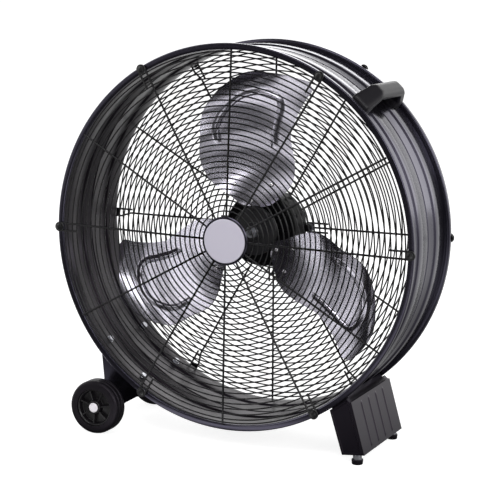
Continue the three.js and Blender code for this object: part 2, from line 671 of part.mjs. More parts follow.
function boxHousing() {
  const along = [(DX - AX) / FACE_LEN, (DZ - AZ) / FACE_LEN];
  const low = [AX + along[0] * BOX_WALL, AZ + along[1] * BOX_WALL];
  const high = [AX + along[0] * (FACE_LEN - 5), AZ + along[1] * (FACE_LEN - 5)];
  const out = [FACE_N[0] * 5, FACE_N[1] * 5];
  const cavity = prismY([
    [low[0] + out[0], low[1] + out[1]], [high[0] + out[0], high[1] + out[1]], [CX + 18, CZ - 5],
    [backWallX(CZ - 4), CZ - 4], [backWallX(BZ + BOX_WALL), BZ + BOX_WALL],
  ], -BOX_HALF + BOX_WALL, BOX_HALF - BOX_WALL).subtract(nearDrum(RIM_R + 4.5));
  const tools = [cavity, rodY(...KNOB_AT, BOX_HALF - BOX_WALL - 5, BOX_HALF + 5, STEM_R + FIT, 12)];
  for (const s of [-1, 1]) {
    tools.push(rod([FOOT_X, s * FOOT_Y, BOX_LOW_Z - 9], [FOOT_X, s * FOOT_Y, BOX_LOW_Z + 10], STUD_R + FIT, 12));
  }
  return cut(boxBody(COVER_T), tools);
}

function boxCover() {
  const plate = prismY([[AX, AZ], [DX, DZ], inFrom([DX, DZ], COVER_T), lowAt(COVER_T)], -BOX_HALF, BOX_HALF)
    .subtract(nearDrum(RIM_R + 1.6));
  const grooves = [-52, -18, 16, 50].map((y) => {
    const g = new THREE.BoxGeometry(2, 5, FACE_LEN - 22);
    g.rotateY(Math.atan2(AX - DX, DZ - AZ) * -1);
    g.translate((AX + DX) / 2, y, (AZ + DZ) / 2);
    return solid(g);
  });
  return cut(plate, grooves);
}

function speedSwitch() {
  const [w, d, h] = SWITCH;
  const y1 = BOX_HALF - BOX_WALL - FIT;
  const body = block(KNOB_AT[0] - w / 2, KNOB_AT[0] + w / 2, y1 - d, y1, KNOB_AT[1] - h / 2, KNOB_AT[1] + h / 2);
  return body.subtract(rodY(...KNOB_AT, y1 - 12, y1 + 1, STEM_R + FIT, 12));
}

function runCapacitor() {
  const lean = (CX - BX) / (CZ - BZ);
  const x = backWallX(CAPACITOR_Z) + (CAPACITOR_R + FIT) * Math.hypot(1, lean);
  return rodY(x, CAPACITOR_Z, 6 - CAPACITOR_LEN, 6, CAPACITOR_R, 20);
}

function speedKnob() {
  const head = rodY(...KNOB_AT, BOX_HALF + 0.5, BOX_HALF + 13, 14, 24);
  const grip = block(KNOB_AT[0] - 2.5, KNOB_AT[0] + 2.5, BOX_HALF + 12, BOX_HALF + 17, KNOB_AT[1] - 12, KNOB_AT[1] + 12);
  const stem = rodY(...KNOB_AT, BOX_HALF - BOX_WALL - 8, BOX_HALF + 2, STEM_R, 12);
  return join([head, grip, stem]);
}

function gland() {
  const body = rodY(...GLAND_AT, BOX_HALF, BOX_HALF + 12, 8, 18);
  const flange = rodY(...GLAND_AT, BOX_HALF, BOX_HALF + 4, 10, 6);
  return body.add(flange).subtract(rodY(...GLAND_AT, BOX_HALF + 3, BOX_HALF + 20, 4, 14));
}

function footStud(side) {
  const slope = (AZ - BZ) / (AX - BX);
  const under = (x) => BZ + (x - BX) * slope - 0.1;
  const collar = rod([FOOT_X, side * FOOT_Y, FOOT_H], [FOOT_X, side * FOOT_Y, BOX_LOW_Z + 10], 7.5, 6);
  const [near, far] = [FOOT_X - 36, FOOT_X + 24];
  const keep = prismY([[near, 0], [far, 0], [far, under(far)], [near, under(near)]], -RIM_Y, RIM_Y);
  const shank = rod([FOOT_X, side * FOOT_Y, FOOT_H + 1], [FOOT_X, side * FOOT_Y, BOX_LOW_Z + 8], STUD_R, 12);
  return collar.intersect(keep).add(shank);
}

function rubberFoot(side) {
  const g = new THREE.CylinderGeometry(FOOT_R, FOOT_R - 1, FOOT_H, 24);
  g.rotateX(Math.PI / 2);
  g.translate(FOOT_X, side * FOOT_Y, FOOT_H / 2);
  return solid(g);
}

node("control_box_housing", boxHousing(), BOX_GREY);
node("control_box_cover", boxCover(), BOX_GREY);
node("speed_switch", speedSwitch(), PLASTIC);
node("run_capacitor", runCapacitor(), WHITE);
node("cable_gland", gland(), PLASTIC);
node("speed_knob", speedKnob(), PLASTIC);
for (const [name, side] of [["front", -1], ["rear", 1]]) {
  node(`foot_stud_${name}`, footStud(side), ZINC);
  node(`rubber_foot_${name}`, rubberFoot(side), RUBBER);
}

// ---- carry handle ----
const PAD_IN = HANDLE_HALF - 26;
const FOOT_END_R = WALL_R - 9; // the legs are made this long, then cut to the drum

function turnedTo(body, angle) {
  return body.translate([0, 0, -AXIS_Z]).rotate([0, -angle, 0]).translate([0, 0, AXIS_Z]);
}

function carryHandle() {
  const top = HANDLE_TOP;
  const under = top - GRIP_T;
  const [end, knee, crown] = [FOOT_END_R, RIM_R + 4, HANDLE_HALF - 36];
  const [inKnee, inCrown] = [RIM_R + 2, PAD_IN - 16];
  const arch = [
    [-HANDLE_HALF, end], [-HANDLE_HALF, knee], [-crown, top], [crown, top], [HANDLE_HALF, knee], [HANDLE_HALF, end],
    [PAD_IN, end], [PAD_IN, inKnee], [inCrown, under], [-inCrown, under], [-PAD_IN, inKnee], [-PAD_IN, end],
  ];
  const shape = new THREE.Shape(arch.map(([y, r]) => new THREE.Vector2(r, y)));
  const g = new THREE.ExtrudeGeometry(shape, { depth: 60, bevelEnabled: false, steps: 1 });
  g.translate(0, 0, -30 + AXIS_Z);
  const taper = prismY([[end, AXIS_Z - 21], [end, AXIS_Z + 21], [top - 6, AXIS_Z + 14.5], [top + 1, AXIS_Z + 10],
    [top + 1, AXIS_Z - 10], [top - 6, AXIS_Z - 14.5]], -RIM_Y, RIM_Y);
  const lying = solid(g).intersect(taper);
  const standing = turnedTo(lying, HANDLE_AT);
  const holes = [-1, 1].map((s) => {
    const at = (r) => polar(r, HANDLE_AT, s * HANDLE_SCREW_Y);
    return rod(at(end), at(RIM_R - 2), SCREW_SHANK_R + FIT, 8);
  });
  return cut(standing, [nearDrum(WALL_R + 0.8), ...holes]);
}

function handleScrew(side) {
  const y = side * HANDLE_SCREW_Y;
  const head = rod(polar(BORE_R - 4.4, HANDLE_AT, y), polar(BORE_R - 1.2, HANDLE_AT, y), 5.2, 8);
  const shank = rod(polar(BORE_R - 2, HANDLE_AT, y), polar(RIM_R - 4, HANDLE_AT, y), SCREW_SHANK_R, 6);
  return head.add(shank);
}
node("carry_handle", carryHandle(), PLASTIC);
node("handle_screw_front", handleScrew(-1), ZINC);
node("handle_screw_rear", handleScrew(1), ZINC);

export default group;
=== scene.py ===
import math

import bmesh
import bpy
import numpy as np
from mathutils import Matrix, Vector


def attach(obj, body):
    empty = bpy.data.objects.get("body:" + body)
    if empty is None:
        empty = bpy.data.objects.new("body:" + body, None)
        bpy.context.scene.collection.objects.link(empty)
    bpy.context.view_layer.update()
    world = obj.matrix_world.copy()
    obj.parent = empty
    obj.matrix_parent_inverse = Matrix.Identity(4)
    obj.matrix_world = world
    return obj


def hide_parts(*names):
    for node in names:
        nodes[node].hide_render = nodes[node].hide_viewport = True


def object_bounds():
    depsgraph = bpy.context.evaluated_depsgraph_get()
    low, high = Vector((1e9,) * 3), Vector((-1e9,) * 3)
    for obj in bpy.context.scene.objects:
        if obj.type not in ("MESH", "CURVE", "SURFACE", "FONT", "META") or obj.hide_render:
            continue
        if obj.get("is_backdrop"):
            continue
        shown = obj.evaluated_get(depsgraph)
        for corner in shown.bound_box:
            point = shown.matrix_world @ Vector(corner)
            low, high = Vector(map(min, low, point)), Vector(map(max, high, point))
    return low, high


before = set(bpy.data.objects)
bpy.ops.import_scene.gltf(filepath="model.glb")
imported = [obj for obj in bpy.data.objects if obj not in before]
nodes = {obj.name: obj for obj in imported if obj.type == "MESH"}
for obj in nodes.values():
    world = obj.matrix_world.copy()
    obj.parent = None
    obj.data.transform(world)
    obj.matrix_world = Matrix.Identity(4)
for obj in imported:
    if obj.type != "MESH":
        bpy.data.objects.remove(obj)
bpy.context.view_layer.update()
stage_scene = bpy.context.scene
stage_scene.view_settings.view_transform = "Standard"


# ---- Drum ----
# A strip of 2 mm steel rolled into a short tube, with two broad ribs and a fine groove pressed round it,
# and both edges curled outwards into 10 mm rims. Degreased, then powder coated black.
AXIS_HEIGHT = 361
DRUM_RADIUS = 321
DRUM_SHEET = 2
RIB_PLACES = (-43, 43)
RIB_HALF, RIB_SHOULDER, RIB_RISE = 14, 4, 3
GROOVE_HALF, GROOVE_DEPTH = 3.5, 1.4
RIM_SECTION = [(321, 87.2), (325.8, 87.6), (329.2, 88.6), (330, 90.4), (330, 96.4), (329, 98), (321.6, 98),
               (319.6, 97), (319, 94.6)]


def linear(hex_colour):
    parts = [int(hex_colour[i:i + 2], 16) / 255 for i in (1, 3, 5)]
    return [c / 12.92 if c <= 0.04045 else ((c + 0.055) / 1.055) ** 2.4 for c in parts] + [1.0]


def add_node(tree, kind, inputs=None, **settings):
    """One shader node, its settings, and its inputs: values, sockets, or a node for its first output."""
    shader = tree.nodes.new(kind)
    for name, value in settings.items():
        setattr(shader, name, value)
    for name, value in (inputs or {}).items():
        if isinstance(value, bpy.types.Node):
            value = value.outputs[0]
        if isinstance(value, bpy.types.NodeSocket):
            tree.links.new(value, shader.inputs[name])
        else:
            shader.inputs[name].default_value = value
    return shader


def new_finish(name):
    """A material, its empty node tree, and the object coordinates in metres that its patterns follow."""
    finish = bpy.data.materials.new(name)
    finish.use_nodes = True
    tree = finish.node_tree
    tree.nodes.clear()
    return finish, tree, add_node(tree, "ShaderNodeTexCoord").outputs["Object"]


def rounded(path, radius, steps=4, closed=True):
    """The path with its corners turned into short curves of about that radius."""
    out = []
    for i, here in enumerate(path):
        here = Vector(here)
        before = Vector(path[i - 1]) - here
        after = Vector(path[(i + 1) % len(path)]) - here
        end = not closed and i in (0, len(path) - 1)
        if end or radius == 0 or min(before.length, after.length) < 1e-6:
            out.append(tuple(here))
            continue
        half = max(before.angle(after) / 2, 0.05)
        reach = min(radius / math.tan(half), 0.48 * before.length, 0.48 * after.length)
        if reach < 0.02:
            out.append(tuple(here))
            continue
        first, last = here + before.normalized() * reach, here + after.normalized() * reach
        for step in range(steps + 1):
            t = step / steps
            out.append(tuple(first * (1 - t) ** 2 + here * (2 * t * (1 - t)) + last * t ** 2))
    return out


def turned(profile, steps, centre=(0, AXIS_HEIGHT), loop=True):
    """A body of revolution about a line along Y: profile points are (radius, y)."""
    verts, faces, rows = [], [], []
    for radius, y in profile:
        count = 1 if radius < 1e-6 else steps
        rows.append(range(len(verts), len(verts) + count))
        for i in range(count):
            a = 2 * math.pi * i / steps
            verts.append((centre[0] + radius * math.cos(a), y, centre[1] + radius * math.sin(a)))
    followers = rows[1:] + rows[:1] if loop else rows[1:]
    for here, there in zip(rows, followers):
        for i in range(steps):
            j = (i + 1) % steps
            corners = [here[i % len(here)], here[j % len(here)], there[j % len(there)], there[i % len(there)]]
            corners = list(dict.fromkeys(corners))
            if len(corners) > 2:
                faces.append(corners)
    return verts, faces


def together(parts):
    verts, faces = [], []
    for more_verts, more_faces in parts:
        start = len(verts)
        verts.extend(more_verts)
        faces.extend([[start + i for i in face] for face in more_faces])
    return verts, faces


def make_piece(name, shape, finish, body, stands_for, crease=32):
    """A mesh piece from millimetre coordinates, smooth but for edges sharper than the crease angle."""
    verts, faces = shape
    mesh = bpy.data.meshes.new(name)
    mesh.from_pydata([(x / 1000, y / 1000, z / 1000) for x, y, z in verts], [], faces)
    work = bmesh.new()
    work.from_mesh(mesh)
    bmesh.ops.recalc_face_normals(work, faces=work.faces)
    work.to_mesh(mesh)
    work.free()
    mesh.shade_smooth()
    mesh.set_sharp_from_angle(angle=math.radians(crease))
    mesh.materials.append(finish)
    piece = bpy.data.objects.new(name, mesh)
    stage_scene.collection.objects.link(piece)
    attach(piece, body)
    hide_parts(*stands_for)
    return piece


def drum_section():
    def rib(middle):
        rise = [RIB_RISE * (0.5 - 0.5 * math.cos(math.pi * step / 6)) for step in range(7)]
        up = [(r, middle - RIB_HALF + RIB_SHOULDER * k / 6) for k, r in enumerate(rise)]
        return up + [(r, 2 * middle - y) for r, y in reversed(up)]
    groove = [(-GROOVE_DEPTH * (0.5 + 0.5 * math.cos(math.pi * step / 5)), GROOVE_HALF * step / 5)
              for step in range(-5, 6)]
    wall = rib(RIB_PLACES[0]) + groove + rib(RIB_PLACES[1])
    outside = [(DRUM_RADIUS + rise, y) for rise, y in wall]
    inside = [(DRUM_RADIUS - DRUM_SHEET + rise, y) for rise, y in reversed(wall)]
    rim = rounded(RIM_SECTION, 1.6, 3, closed=False)
    return outside + rim + inside + [(r, -y) for r, y in reversed(rim)]


# Powder coat, a baked polyester film. It gives the eye a deep black with a broad soft gloss, broken by
# a fine orange peel of about 1.6 mm and by faint patches where the film is a little thicker.
powder_coat, tree, spot = new_finish("black_powder_coat")
peel = add_node(tree, "ShaderNodeTexNoise", {"Vector": spot, "Scale": 1 / 0.0016, "Detail": 2.0})
patches = add_node(tree, "ShaderNodeTexNoise", {"Vector": spot, "Scale": 1 / 0.06, "Detail": 3.0})
gloss = add_node(tree, "ShaderNodeMapRange", {"Value": patches, "To Min": 0.16, "To Max": 0.24})
skin = add_node(tree, "ShaderNodeBump", {"Height": peel, "Strength": 0.12, "Distance": 0.0002})
shader = add_node(tree, "ShaderNodeBsdfPrincipled", {
    "Base Color": linear("#0b0a0d"), "IOR": 1.75, "Roughness": gloss,
    "Specular Tint": linear("#e4deff"), "Normal": skin})
add_node(tree, "ShaderNodeOutputMaterial", {"Surface": shader})

# Inside faces get a copy of the coat that reflects less and is more matt, so the drum's inside renders darker
# than its outside.
dimmer_inside_coat, tree, spot = new_finish("black_powder_coat_inside")
peel = add_node(tree, "ShaderNodeTexNoise", {"Vector": spot, "Scale": 1 / 0.0012, "Detail": 3.0})
gloss = add_node(tree, "ShaderNodeMapRange", {"Value": peel, "To Min": 0.24, "To Max": 0.36})
skin = add_node(tree, "ShaderNodeBump", {"Height": peel, "Strength": 0.12, "Distance": 0.0002})
shader = add_node(tree, "ShaderNodeBsdfPrincipled", {
    "Base Color": linear("#0b0a0d"), "IOR": 1.31, "Roughness": gloss,
    "Specular Tint": linear("#f0dcf4"), "Normal": skin})
add_node(tree, "ShaderNodeOutputMaterial", {"Surface": shader})

drum = make_piece("drum_rolled_shell", turned(drum_section(), 192), powder_coat, "housing", ["drum_shell"],
                  40)
drum.data.materials.append(dimmer_inside_coat)
for face in drum.data.polygons:
    towards_axis = -(face.center.x * face.normal.x + (face.center.z - AXIS_HEIGHT / 1000) * face.normal.z)
    face.material_index = int(towards_axis > 0.1 and abs(face.center.y) < 0.095)


# ---- Motor ----
# A closed induction motor: a rolled shell between two cast end shields, with the wound stator and the
# rotor inside. Its rear shield has four lugs, by which it hangs on the wires of the rear guard.
MOTOR_RADIUS = 66
MOTOR_FRONT, MOTOR_BACK = 36, 92
SHIELD_DEPTH = 8
SHIELD_BORE = 17.3
LUG_CIRCLE, LUG_TOP = 68, 94.8


def polar(radius, angle, y):
    a = math.radians(angle)
    return radius * math.cos(a), y, AXIS_HEIGHT + radius * math.sin(a)


def bands(count, rows, closed=False):
    """Faces between rows of that many points, from each row to the next, and from the last to the first."""
    faces = []
    for k in range(rows if closed else rows - 1):
        m = (k + 1) % rows
        for i in range(count):
            j = (i + 1) % count
            faces.append([k * count + i, k * count + j, m * count + j, m * count + i])
    return faces


def motor_shell():
    y0, y1 = MOTOR_FRONT + SHIELD_DEPTH, MOTOR_BACK - SHIELD_DEPTH
    steps, rows = 240, 33
    verts = []
    for row in range(rows):
        y = y0 + (y1 - y0) * row / (rows - 1)
        for i in range(steps):
            a = 360 * i / steps
            slot = abs((a % 15) - 7.5) < 2.6 and (6 < y - y0 < 14 or 6 < y1 - y < 14)
            verts.append(polar(MOTOR_RADIUS - (1.4 if slot else 0), a, y))
    for y in (y1, y0):
        verts.extend(polar(MOTOR_RADIUS - 2, 360 * i / steps, y) for i in range(steps))
    return verts, bands(steps, rows + 2, closed=True)


def cast_shield(flat, back, outline, relief):
    """A cast disc, flat on one side; outline is (radius, y) and relief(radius, angle) moulds the other."""
    steps, rings = 240, 26
    turns = [360 * i / steps for i in range(steps)]
    edge = outline[-1][0]
    verts = [polar(radius, a, y) for radius, y in [(SHIELD_BORE, flat)] + outline for a in turns]
    for ring in range(1, rings + 1):
        radius = edge + (SHIELD_BORE - edge) * ring / rings
        verts.extend(polar(radius, a, back + relief(radius, a)) for a in turns)
    return verts, bands(steps, 1 + len(outline) + rings, closed=True)


def front_relief(radius, angle):
    rib = min(angle % 30, 30 - angle % 30) * math.radians(radius) < 1.6 and 26 < radius < 58
    return 0.0 if rib or radius < 24 else 1.6


def rear_relief(radius, angle):
    rib = min(angle % 30, 30 - angle % 30) * math.radians(radius) < 1.6 and 30 < radius < 52
    return 0.0 if rib or radius < 26 or radius > 54 else -1.8


# Cast aluminium under a satin black enamel: softer and a little rougher than the drum, with the fine
# grain of the casting, about 0.9 mm, still showing through.
motor_enamel, tree, spot = new_finish("satin_black_enamel_on_casting")
grain = add_node(tree, "ShaderNodeTexNoise", {"Vector": spot, "Scale": 1 / 0.0009, "Detail": 3.0})
skin = add_node(tree, "ShaderNodeBump", {"Height": grain, "Strength": 0.35, "Distance": 0.0002})
shader = add_node(tree, "ShaderNodeBsdfPrincipled", {
    "Base Color": linear("#09080a"), "IOR": 1.2, "Roughness": 0.5, "Normal": skin})
add_node(tree, "ShaderNodeOutputMaterial", {"Surface": shader})

make_piece("motor_rolled_shell", motor_shell(), motor_enamel, "housing", ["motor_shell"])
make_piece("motor_cast_front", cast_shield(
    MOTOR_FRONT + SHIELD_DEPTH, MOTOR_FRONT,
    [(66, 44), (66, 41), (65.2, 38.6), (63.4, 36.8), (61, 36)], front_relief),
    motor_enamel, "housing", ["motor_front_shield"])


def lug(angle):
    x, _, z = polar(LUG_CIRCLE, angle, 0)
    profile = [(0, 85), (6, 85), (6, LUG_TOP - 1), (5.3, LUG_TOP), (3, LUG_TOP), (3, 93), (0, 93)]
    return turned(profile, 40, (x, z), loop=False)


make_piece("motor_cast_back", together([cast_shield(
    MOTOR_BACK - SHIELD_DEPTH, MOTOR_BACK,
    [(66, 84), (66, 89), (65.4, 91), (63, 92)], rear_relief)] + [lug(a) for a in (0, 90, 180, 270)]),
    motor_enamel, "housing", ["motor_rear_shield"])

# Stacked electrical steel inside the motor: grey sheets, 0.5 mm each, drawn at nearly 4 mm to show.
laminations, tree, spot = new_finish("stacked_electrical_steel")
sheets = add_node(tree, "ShaderNodeTexWave", {"Vector": spot, "Scale": 1 / 0.012, "Distortion": 0.2},
                  bands_direction="Y")
skin = add_node(tree, "ShaderNodeBump", {
    "Height": sheets.outputs["Fac"], "Strength": 0.4, "Distance": 0.0003})
shader = add_node(tree, "ShaderNodeBsdfPrincipled", {
    "Base Color": linear("#8d8f95"), "Metallic": 1.0, "Roughness": 0.45, "Normal": skin})
add_node(tree, "ShaderNodeOutputMaterial", {"Surface": shader})
for name in ("stator_core", "rotor_core"):
    nodes[name].material_slots[0].material = laminations

# Ground bearing steel: bright, with the grinder's fine lines, drawn about 2 mm apart to show.
ground_steel, tree, spot = new_finish("ground_steel")
lines = add_node(tree, "ShaderNodeTexWave", {
    "Vector": spot, "Scale": 1 / 0.006, "Distortion": 1.5, "Detail": 2.0}, bands_direction="Y")
sheen = add_node(tree, "ShaderNodeMapRange", {"Value": lines.outputs["Fac"], "To Min": 0.2, "To Max": 0.32})
shader = add_node(tree, "ShaderNodeBsdfPrincipled", {
    "Base Color": linear("#b4b4ba"), "Metallic": 1.0, "Roughness": sheen})
add_node(tree, "ShaderNodeOutputMaterial", {"Surface": shader})
for name in ("front_bearing", "rear_bearing", "wheel_axle"):
    nodes[name].material_slots[0].material = ground_steel


# ---- Shaft, hub and nut ----
# A ground steel shaft carries a pressed steel hub with three arms, one behind each blade. The hub is
# painted black, and a zinc plated hexagon nut on the shaft's thinner end holds it.
HUB_SECTION = [(8.3, 5), (16, 5), (17, 8), (42, 10), (42, 19), (20, 20), (19, 25), (8.3, 25)]
SHAFT_SECTION = [(0, -8), (4.2, -8), (5, -7), (5, 5), (8, 5), (8, 91), (0, 91)]
BLADE_DIRECTIONS = (86, 206, 326)
SHEET = 1.6
# radius, then the leading and trailing edges in degrees from the blade's middle, then y at each edge
BLADE_STATIONS = np.array([
    [38, -16, 10, 17, -2.5], [46, -16, 10, 17, -2.5], [50, -22, 19, 21, -9], [56, -26, 24, 24, -13.5],
    [64, -29, 27, 26.5, -18], [75, -31, 31, 28, -24], [95, -33, 37, 30, -31], [115, -31, 39.5, 30, -32],
    [140, -24.7, 39, 29, -33], [160, -19.5, 35.5, 26, -36], [180, -16, 31, 24, -38],
    [203, -15.5, 28, 25, -36], [225, -16, 24.3, 25, -32],
    [248, -17, 17, 24, -31], [267, -18, 9, 24, -31], [279, -16, 3, 22, -30]])
BLADE_FOOT, BLADE_TIP, BLADE_BOW = 46, 279, 7
ARM_SHEET, ARM_GAP = 3, 0.3


def station(radius):
    """Leading and trailing angle and y at that radius, on a smooth curve through the stations."""
    r = BLADE_STATIONS[:, 0]
    k = int(np.clip(np.searchsorted(r, radius) - 1, 0, len(r) - 2))
    span = r[k + 1] - r[k]
    t = (radius - r[k]) / span
    here, there = BLADE_STATIONS[k, 1:], BLADE_STATIONS[k + 1, 1:]

    def slope(i):
        low, high = max(i - 1, 0), min(i + 1, len(r) - 1)
        return (BLADE_STATIONS[high, 1:] - BLADE_STATIONS[low, 1:]) / (r[high] - r[low])
    a, b = slope(k) * span, slope(k + 1) * span
    return ((2 * t ** 3 - 3 * t ** 2 + 1) * here + (t ** 3 - 2 * t ** 2 + t) * a
            + (3 * t ** 2 - 2 * t ** 3) * there + (t ** 3 - t ** 2) * b)


def sheet_y(radius, angle):
    lead, trail, lead_y, trail_y = station(radius)
    u = (angle - lead) / (trail - lead)
    bow = BLADE_BOW * max(0, radius - BLADE_FOOT) / (BLADE_TIP - BLADE_FOOT) * 4 * max(0, u * (1 - u))
    return lead_y + (trail_y - lead_y) * u + bow


def sheet_faces(rows, w):
    """Faces of a sheet: rows of w points for its front, as many for its back, and the edge all round."""
    total, faces = rows * w, []
    for i in range(rows - 1):
        for j in range(w - 1):
            a, b, c, d = i * w + j, (i + 1) * w + j, (i + 1) * w + j + 1, i * w + j + 1
            faces.append([a, b, c, d])
            faces.append([total + a, total + d, total + c, total + b])
    rim = [(0, j) for j in range(w)] + [(i, w - 1) for i in range(1, rows)]
    rim += [(rows - 1, j) for j in range(w - 2, -1, -1)] + [(i, 0) for i in range(rows - 2, 0, -1)]
    for (i, j), (k, m) in zip(rim, rim[1:] + rim[:1]):
        faces.append([i * w + j, k * w + m, total + k * w + m, total + i * w + j])
    return faces


def twisted_sheet(radii, shares, offset, thickness, turn, raised=None):
    """A twisted sheet of metal over those radii and shares of the chord."""
    middle, up = [], []
    for radius in radii:
        lead, trail = station(radius)[:2]
        for share in shares:
            a = lead + (trail - lead) * share
            middle.append(polar(radius, a + turn, sheet_y(radius, a) + offset))
    w = len(shares)
    points = np.array(middle).reshape(len(radii), w, 3)
    along, across = np.gradient(points, axis=0), np.gradient(points, axis=1)
    normal = np.cross(along, across)
    normal /= np.linalg.norm(normal, axis=2, keepdims=True)
    normal *= np.where(normal[:, :, 1:2] < 0, 1, -1)
    lift = np.zeros(points.shape[:2]) if raised is None else raised(radii, shares)
    front = points + normal * (thickness / 2 + lift)[..., None]
    back = points - normal * (thickness / 2 - lift)[..., None]
    verts = [tuple(p) for p in front.reshape(-1, 3)] + [tuple(p) for p in back.reshape(-1, 3)]
    return verts, sheet_faces(len(radii), w)


def hub_arm(turn):
    radii = np.linspace(38, 95, 36)
    behind = SHEET / 2 + ARM_GAP + ARM_SHEET / 2
    return twisted_sheet(radii, np.linspace(1 / 6, 5 / 6, 24), behind, ARM_SHEET, turn)


# Chassis black on pressed steel: the hub and its arms are sprayed, not baked, so the gloss is duller.
hub_paint, tree, spot = new_finish("black_sprayed_steel")
mist = add_node(tree, "ShaderNodeTexNoise", {"Vector": spot, "Scale": 1 / 0.002, "Detail": 4.0})
gloss = add_node(tree, "ShaderNodeMapRange", {"Value": mist, "To Min": 0.3, "To Max": 0.45})
skin = add_node(tree, "ShaderNodeBump", {"Height": mist, "Strength": 0.12, "Distance": 0.0002})
shader = add_node(tree, "ShaderNodeBsdfPrincipled", {
    "Base Color": linear("#1a191c"), "IOR": 1.5, "Roughness": gloss,
    "Normal": skin})
add_node(tree, "ShaderNodeOutputMaterial", {"Surface": shader})

hub_shape = together([turned(rounded(HUB_SECTION, 1.6), 120)] + [hub_arm(turn) for turn in BLADE_DIRECTIONS])
make_piece("blade_hub_with_arms", hub_shape, hub_paint, "impeller", ["blade_hub"])
make_piece("ground_motor_shaft", turned(SHAFT_SECTION, 64, loop=False), ground_steel, "impeller",
           ["motor_shaft"])

# Zinc plate over mild steel: a cool silver, bright but slightly cloudy, with a crystal grain near 1 mm.
zinc_plate, tree, spot = new_finish("bright_zinc_plate")
cloud = add_node(tree, "ShaderNodeTexNoise", {"Vector": spot, "Scale": 1 / 0.0012, "Detail": 3.0})
tint = add_node(tree, "ShaderNodeMix", {0: cloud, 6: linear("#b2b3bb"), 7: linear("#dcdde3")},
                data_type="RGBA")
shader = add_node(tree, "ShaderNodeBsdfPrincipled", {
    "Base Color": tint.outputs[2], "Metallic": 0.85, "Roughness": 0.3})
add_node(tree, "ShaderNodeOutputMaterial", {"Surface": shader})


def hexagon_nut(across, bore, height):
    """A chamfered hexagon nut standing on z = 0, its bore along z; corners lie at half of across."""
    steps = 96

    def hexagon(share):
        out = []
        for i in range(steps):
            a = math.radians(360 * i / steps)
            flat = across / 2 * math.cos(math.pi / 6) / math.cos((a % (math.pi / 3)) - math.pi / 6)
            out.append((min(flat, across / 2 * share), a))
        return out
    cut_share = 0.885
    rows = [(hexagon(1), 0), (hexagon(1), height - across * 0.055), (hexagon(0.95), height - across * 0.025),
            (hexagon(cut_share), height), ([(bore + 0.7, a) for _, a in hexagon(1)], height),
            ([(bore, a) for _, a in hexagon(1)], height - 0.7), ([(bore, a) for _, a in hexagon(1)], 0)]
    verts = [(r * math.cos(a), r * math.sin(a), z) for ring, z in rows for r, a in ring]
    return verts, bands(steps, len(rows), closed=True)


def placed(shape, at, out, spin=0):
    """A part made standing on the origin along z, moved to a place and turned to face out."""
    turn = Vector(out).normalized().to_track_quat("Z", "Y").to_matrix().to_4x4()
    move = Matrix.Translation(Vector(at)) @ turn @ Matrix.Rotation(math.radians(spin), 4, "Z")
    return [tuple(move @ Vector(v)) for v in shape[0]], shape[1]


make_piece("hub_lock_nut", placed(hexagon_nut(22, 5.3, 8.5), (0, 5, AXIS_HEIGHT), (0, -1, 0), 12), zinc_plate,
           "impeller", ["hub_nut"], 25)


# ---- Blades ----
# Three wide blades pressed from 1.6 mm aluminium sheet, dished and twisted, each with a U shaped bead
# pressed into it for stiffness. They are riveted to the hub's arms and left as rolled, with no paint.
BEAD_LINE = [(150, -8.2), (172, -7), (188, -7), (203, -7), (217, -7.4), (229, -7), (237, -5.5), (241, -2),
             (242, 1.5), (240, 5), (235, 8.5), (228, 11.5), (218, 14.5), (205, 18), (188, 21), (162, 23)]
BEAD_INSIDE, BEAD_OUTSIDE = 3.4, 9
BEAD_RISE = 3.4
BEAD_FADE = 14
RIVETS = [(88, -16), (88, 21), (55, 4)]


def bead_rise(radii, shares):
    line = np.array([(r * math.cos(math.radians(a)), r * math.sin(math.radians(a))) for r, a in BEAD_LINE])
    dense = []
    for k in range(len(line) - 1):
        p0, p1 = line[max(k - 1, 0)], line[k]
        p2, p3 = line[k + 1], line[min(k + 2, len(line) - 1)]
        for t in np.linspace(0, 1, 24, endpoint=False):
            dense.append(0.5 * (2 * p1 + (p2 - p0) * t + (2 * p0 - 5 * p1 + 4 * p2 - p3) * t * t
                                + (3 * p1 - p0 - 3 * p2 + p3) * t ** 3))
    dense = np.array(dense)
    course = np.gradient(dense, axis=0)
    run = np.concatenate([[0], np.cumsum(np.hypot(*np.diff(dense, axis=0).T))])
    strength = np.clip(np.minimum(run, run[-1] - run) / BEAD_FADE, 0, 1)
    lift = np.zeros((len(radii), len(shares)))
    for i, radius in enumerate(radii):
        lead, trail = station(radius)[:2]
        angles = np.radians(lead + (trail - lead) * np.asarray(shares))
        here = np.stack([radius * np.cos(angles), radius * np.sin(angles)], axis=1)
        away = here[:, None, :] - dense[None, :, :]
        near = (away ** 2).sum(axis=2).argmin(axis=1)
        off = away[np.arange(len(near)), near]
        outside = course[near, 0] * off[:, 1] - course[near, 1] * off[:, 0] < 0
        share = np.hypot(off[:, 0], off[:, 1]) / np.where(outside, BEAD_OUTSIDE, BEAD_INSIDE)
        lift[i] = BEAD_RISE * strength[near] * (0.5 + 0.5 * np.cos(np.pi * np.clip(share, 0, 1)))
    return lift


def rivet(radius, angle, turn):
    y = sheet_y(radius, angle)
    ahead = Vector(polar(radius + 2, angle + turn, sheet_y(radius + 2, angle)))
    beside = Vector(polar(radius, angle + 1 + turn, sheet_y(radius, angle + 1)))
    foot = Vector(polar(radius, angle + turn, y))
    out = (beside - foot).cross(ahead - foot).normalized()
    if out.y > 0:
        out = -out
    dome = [(0, 0.5), (4.2, 0.5), (4.1, 1.1), (3.6, 1.8), (2.6, 2.4), (1.3, 2.75), (0, 2.85)]
    verts, faces = turned(dome, 28, (0, 0), loop=False)
    standing = [(x, -z, y) for x, y, z in verts]
    return placed((standing, faces), foot, out)


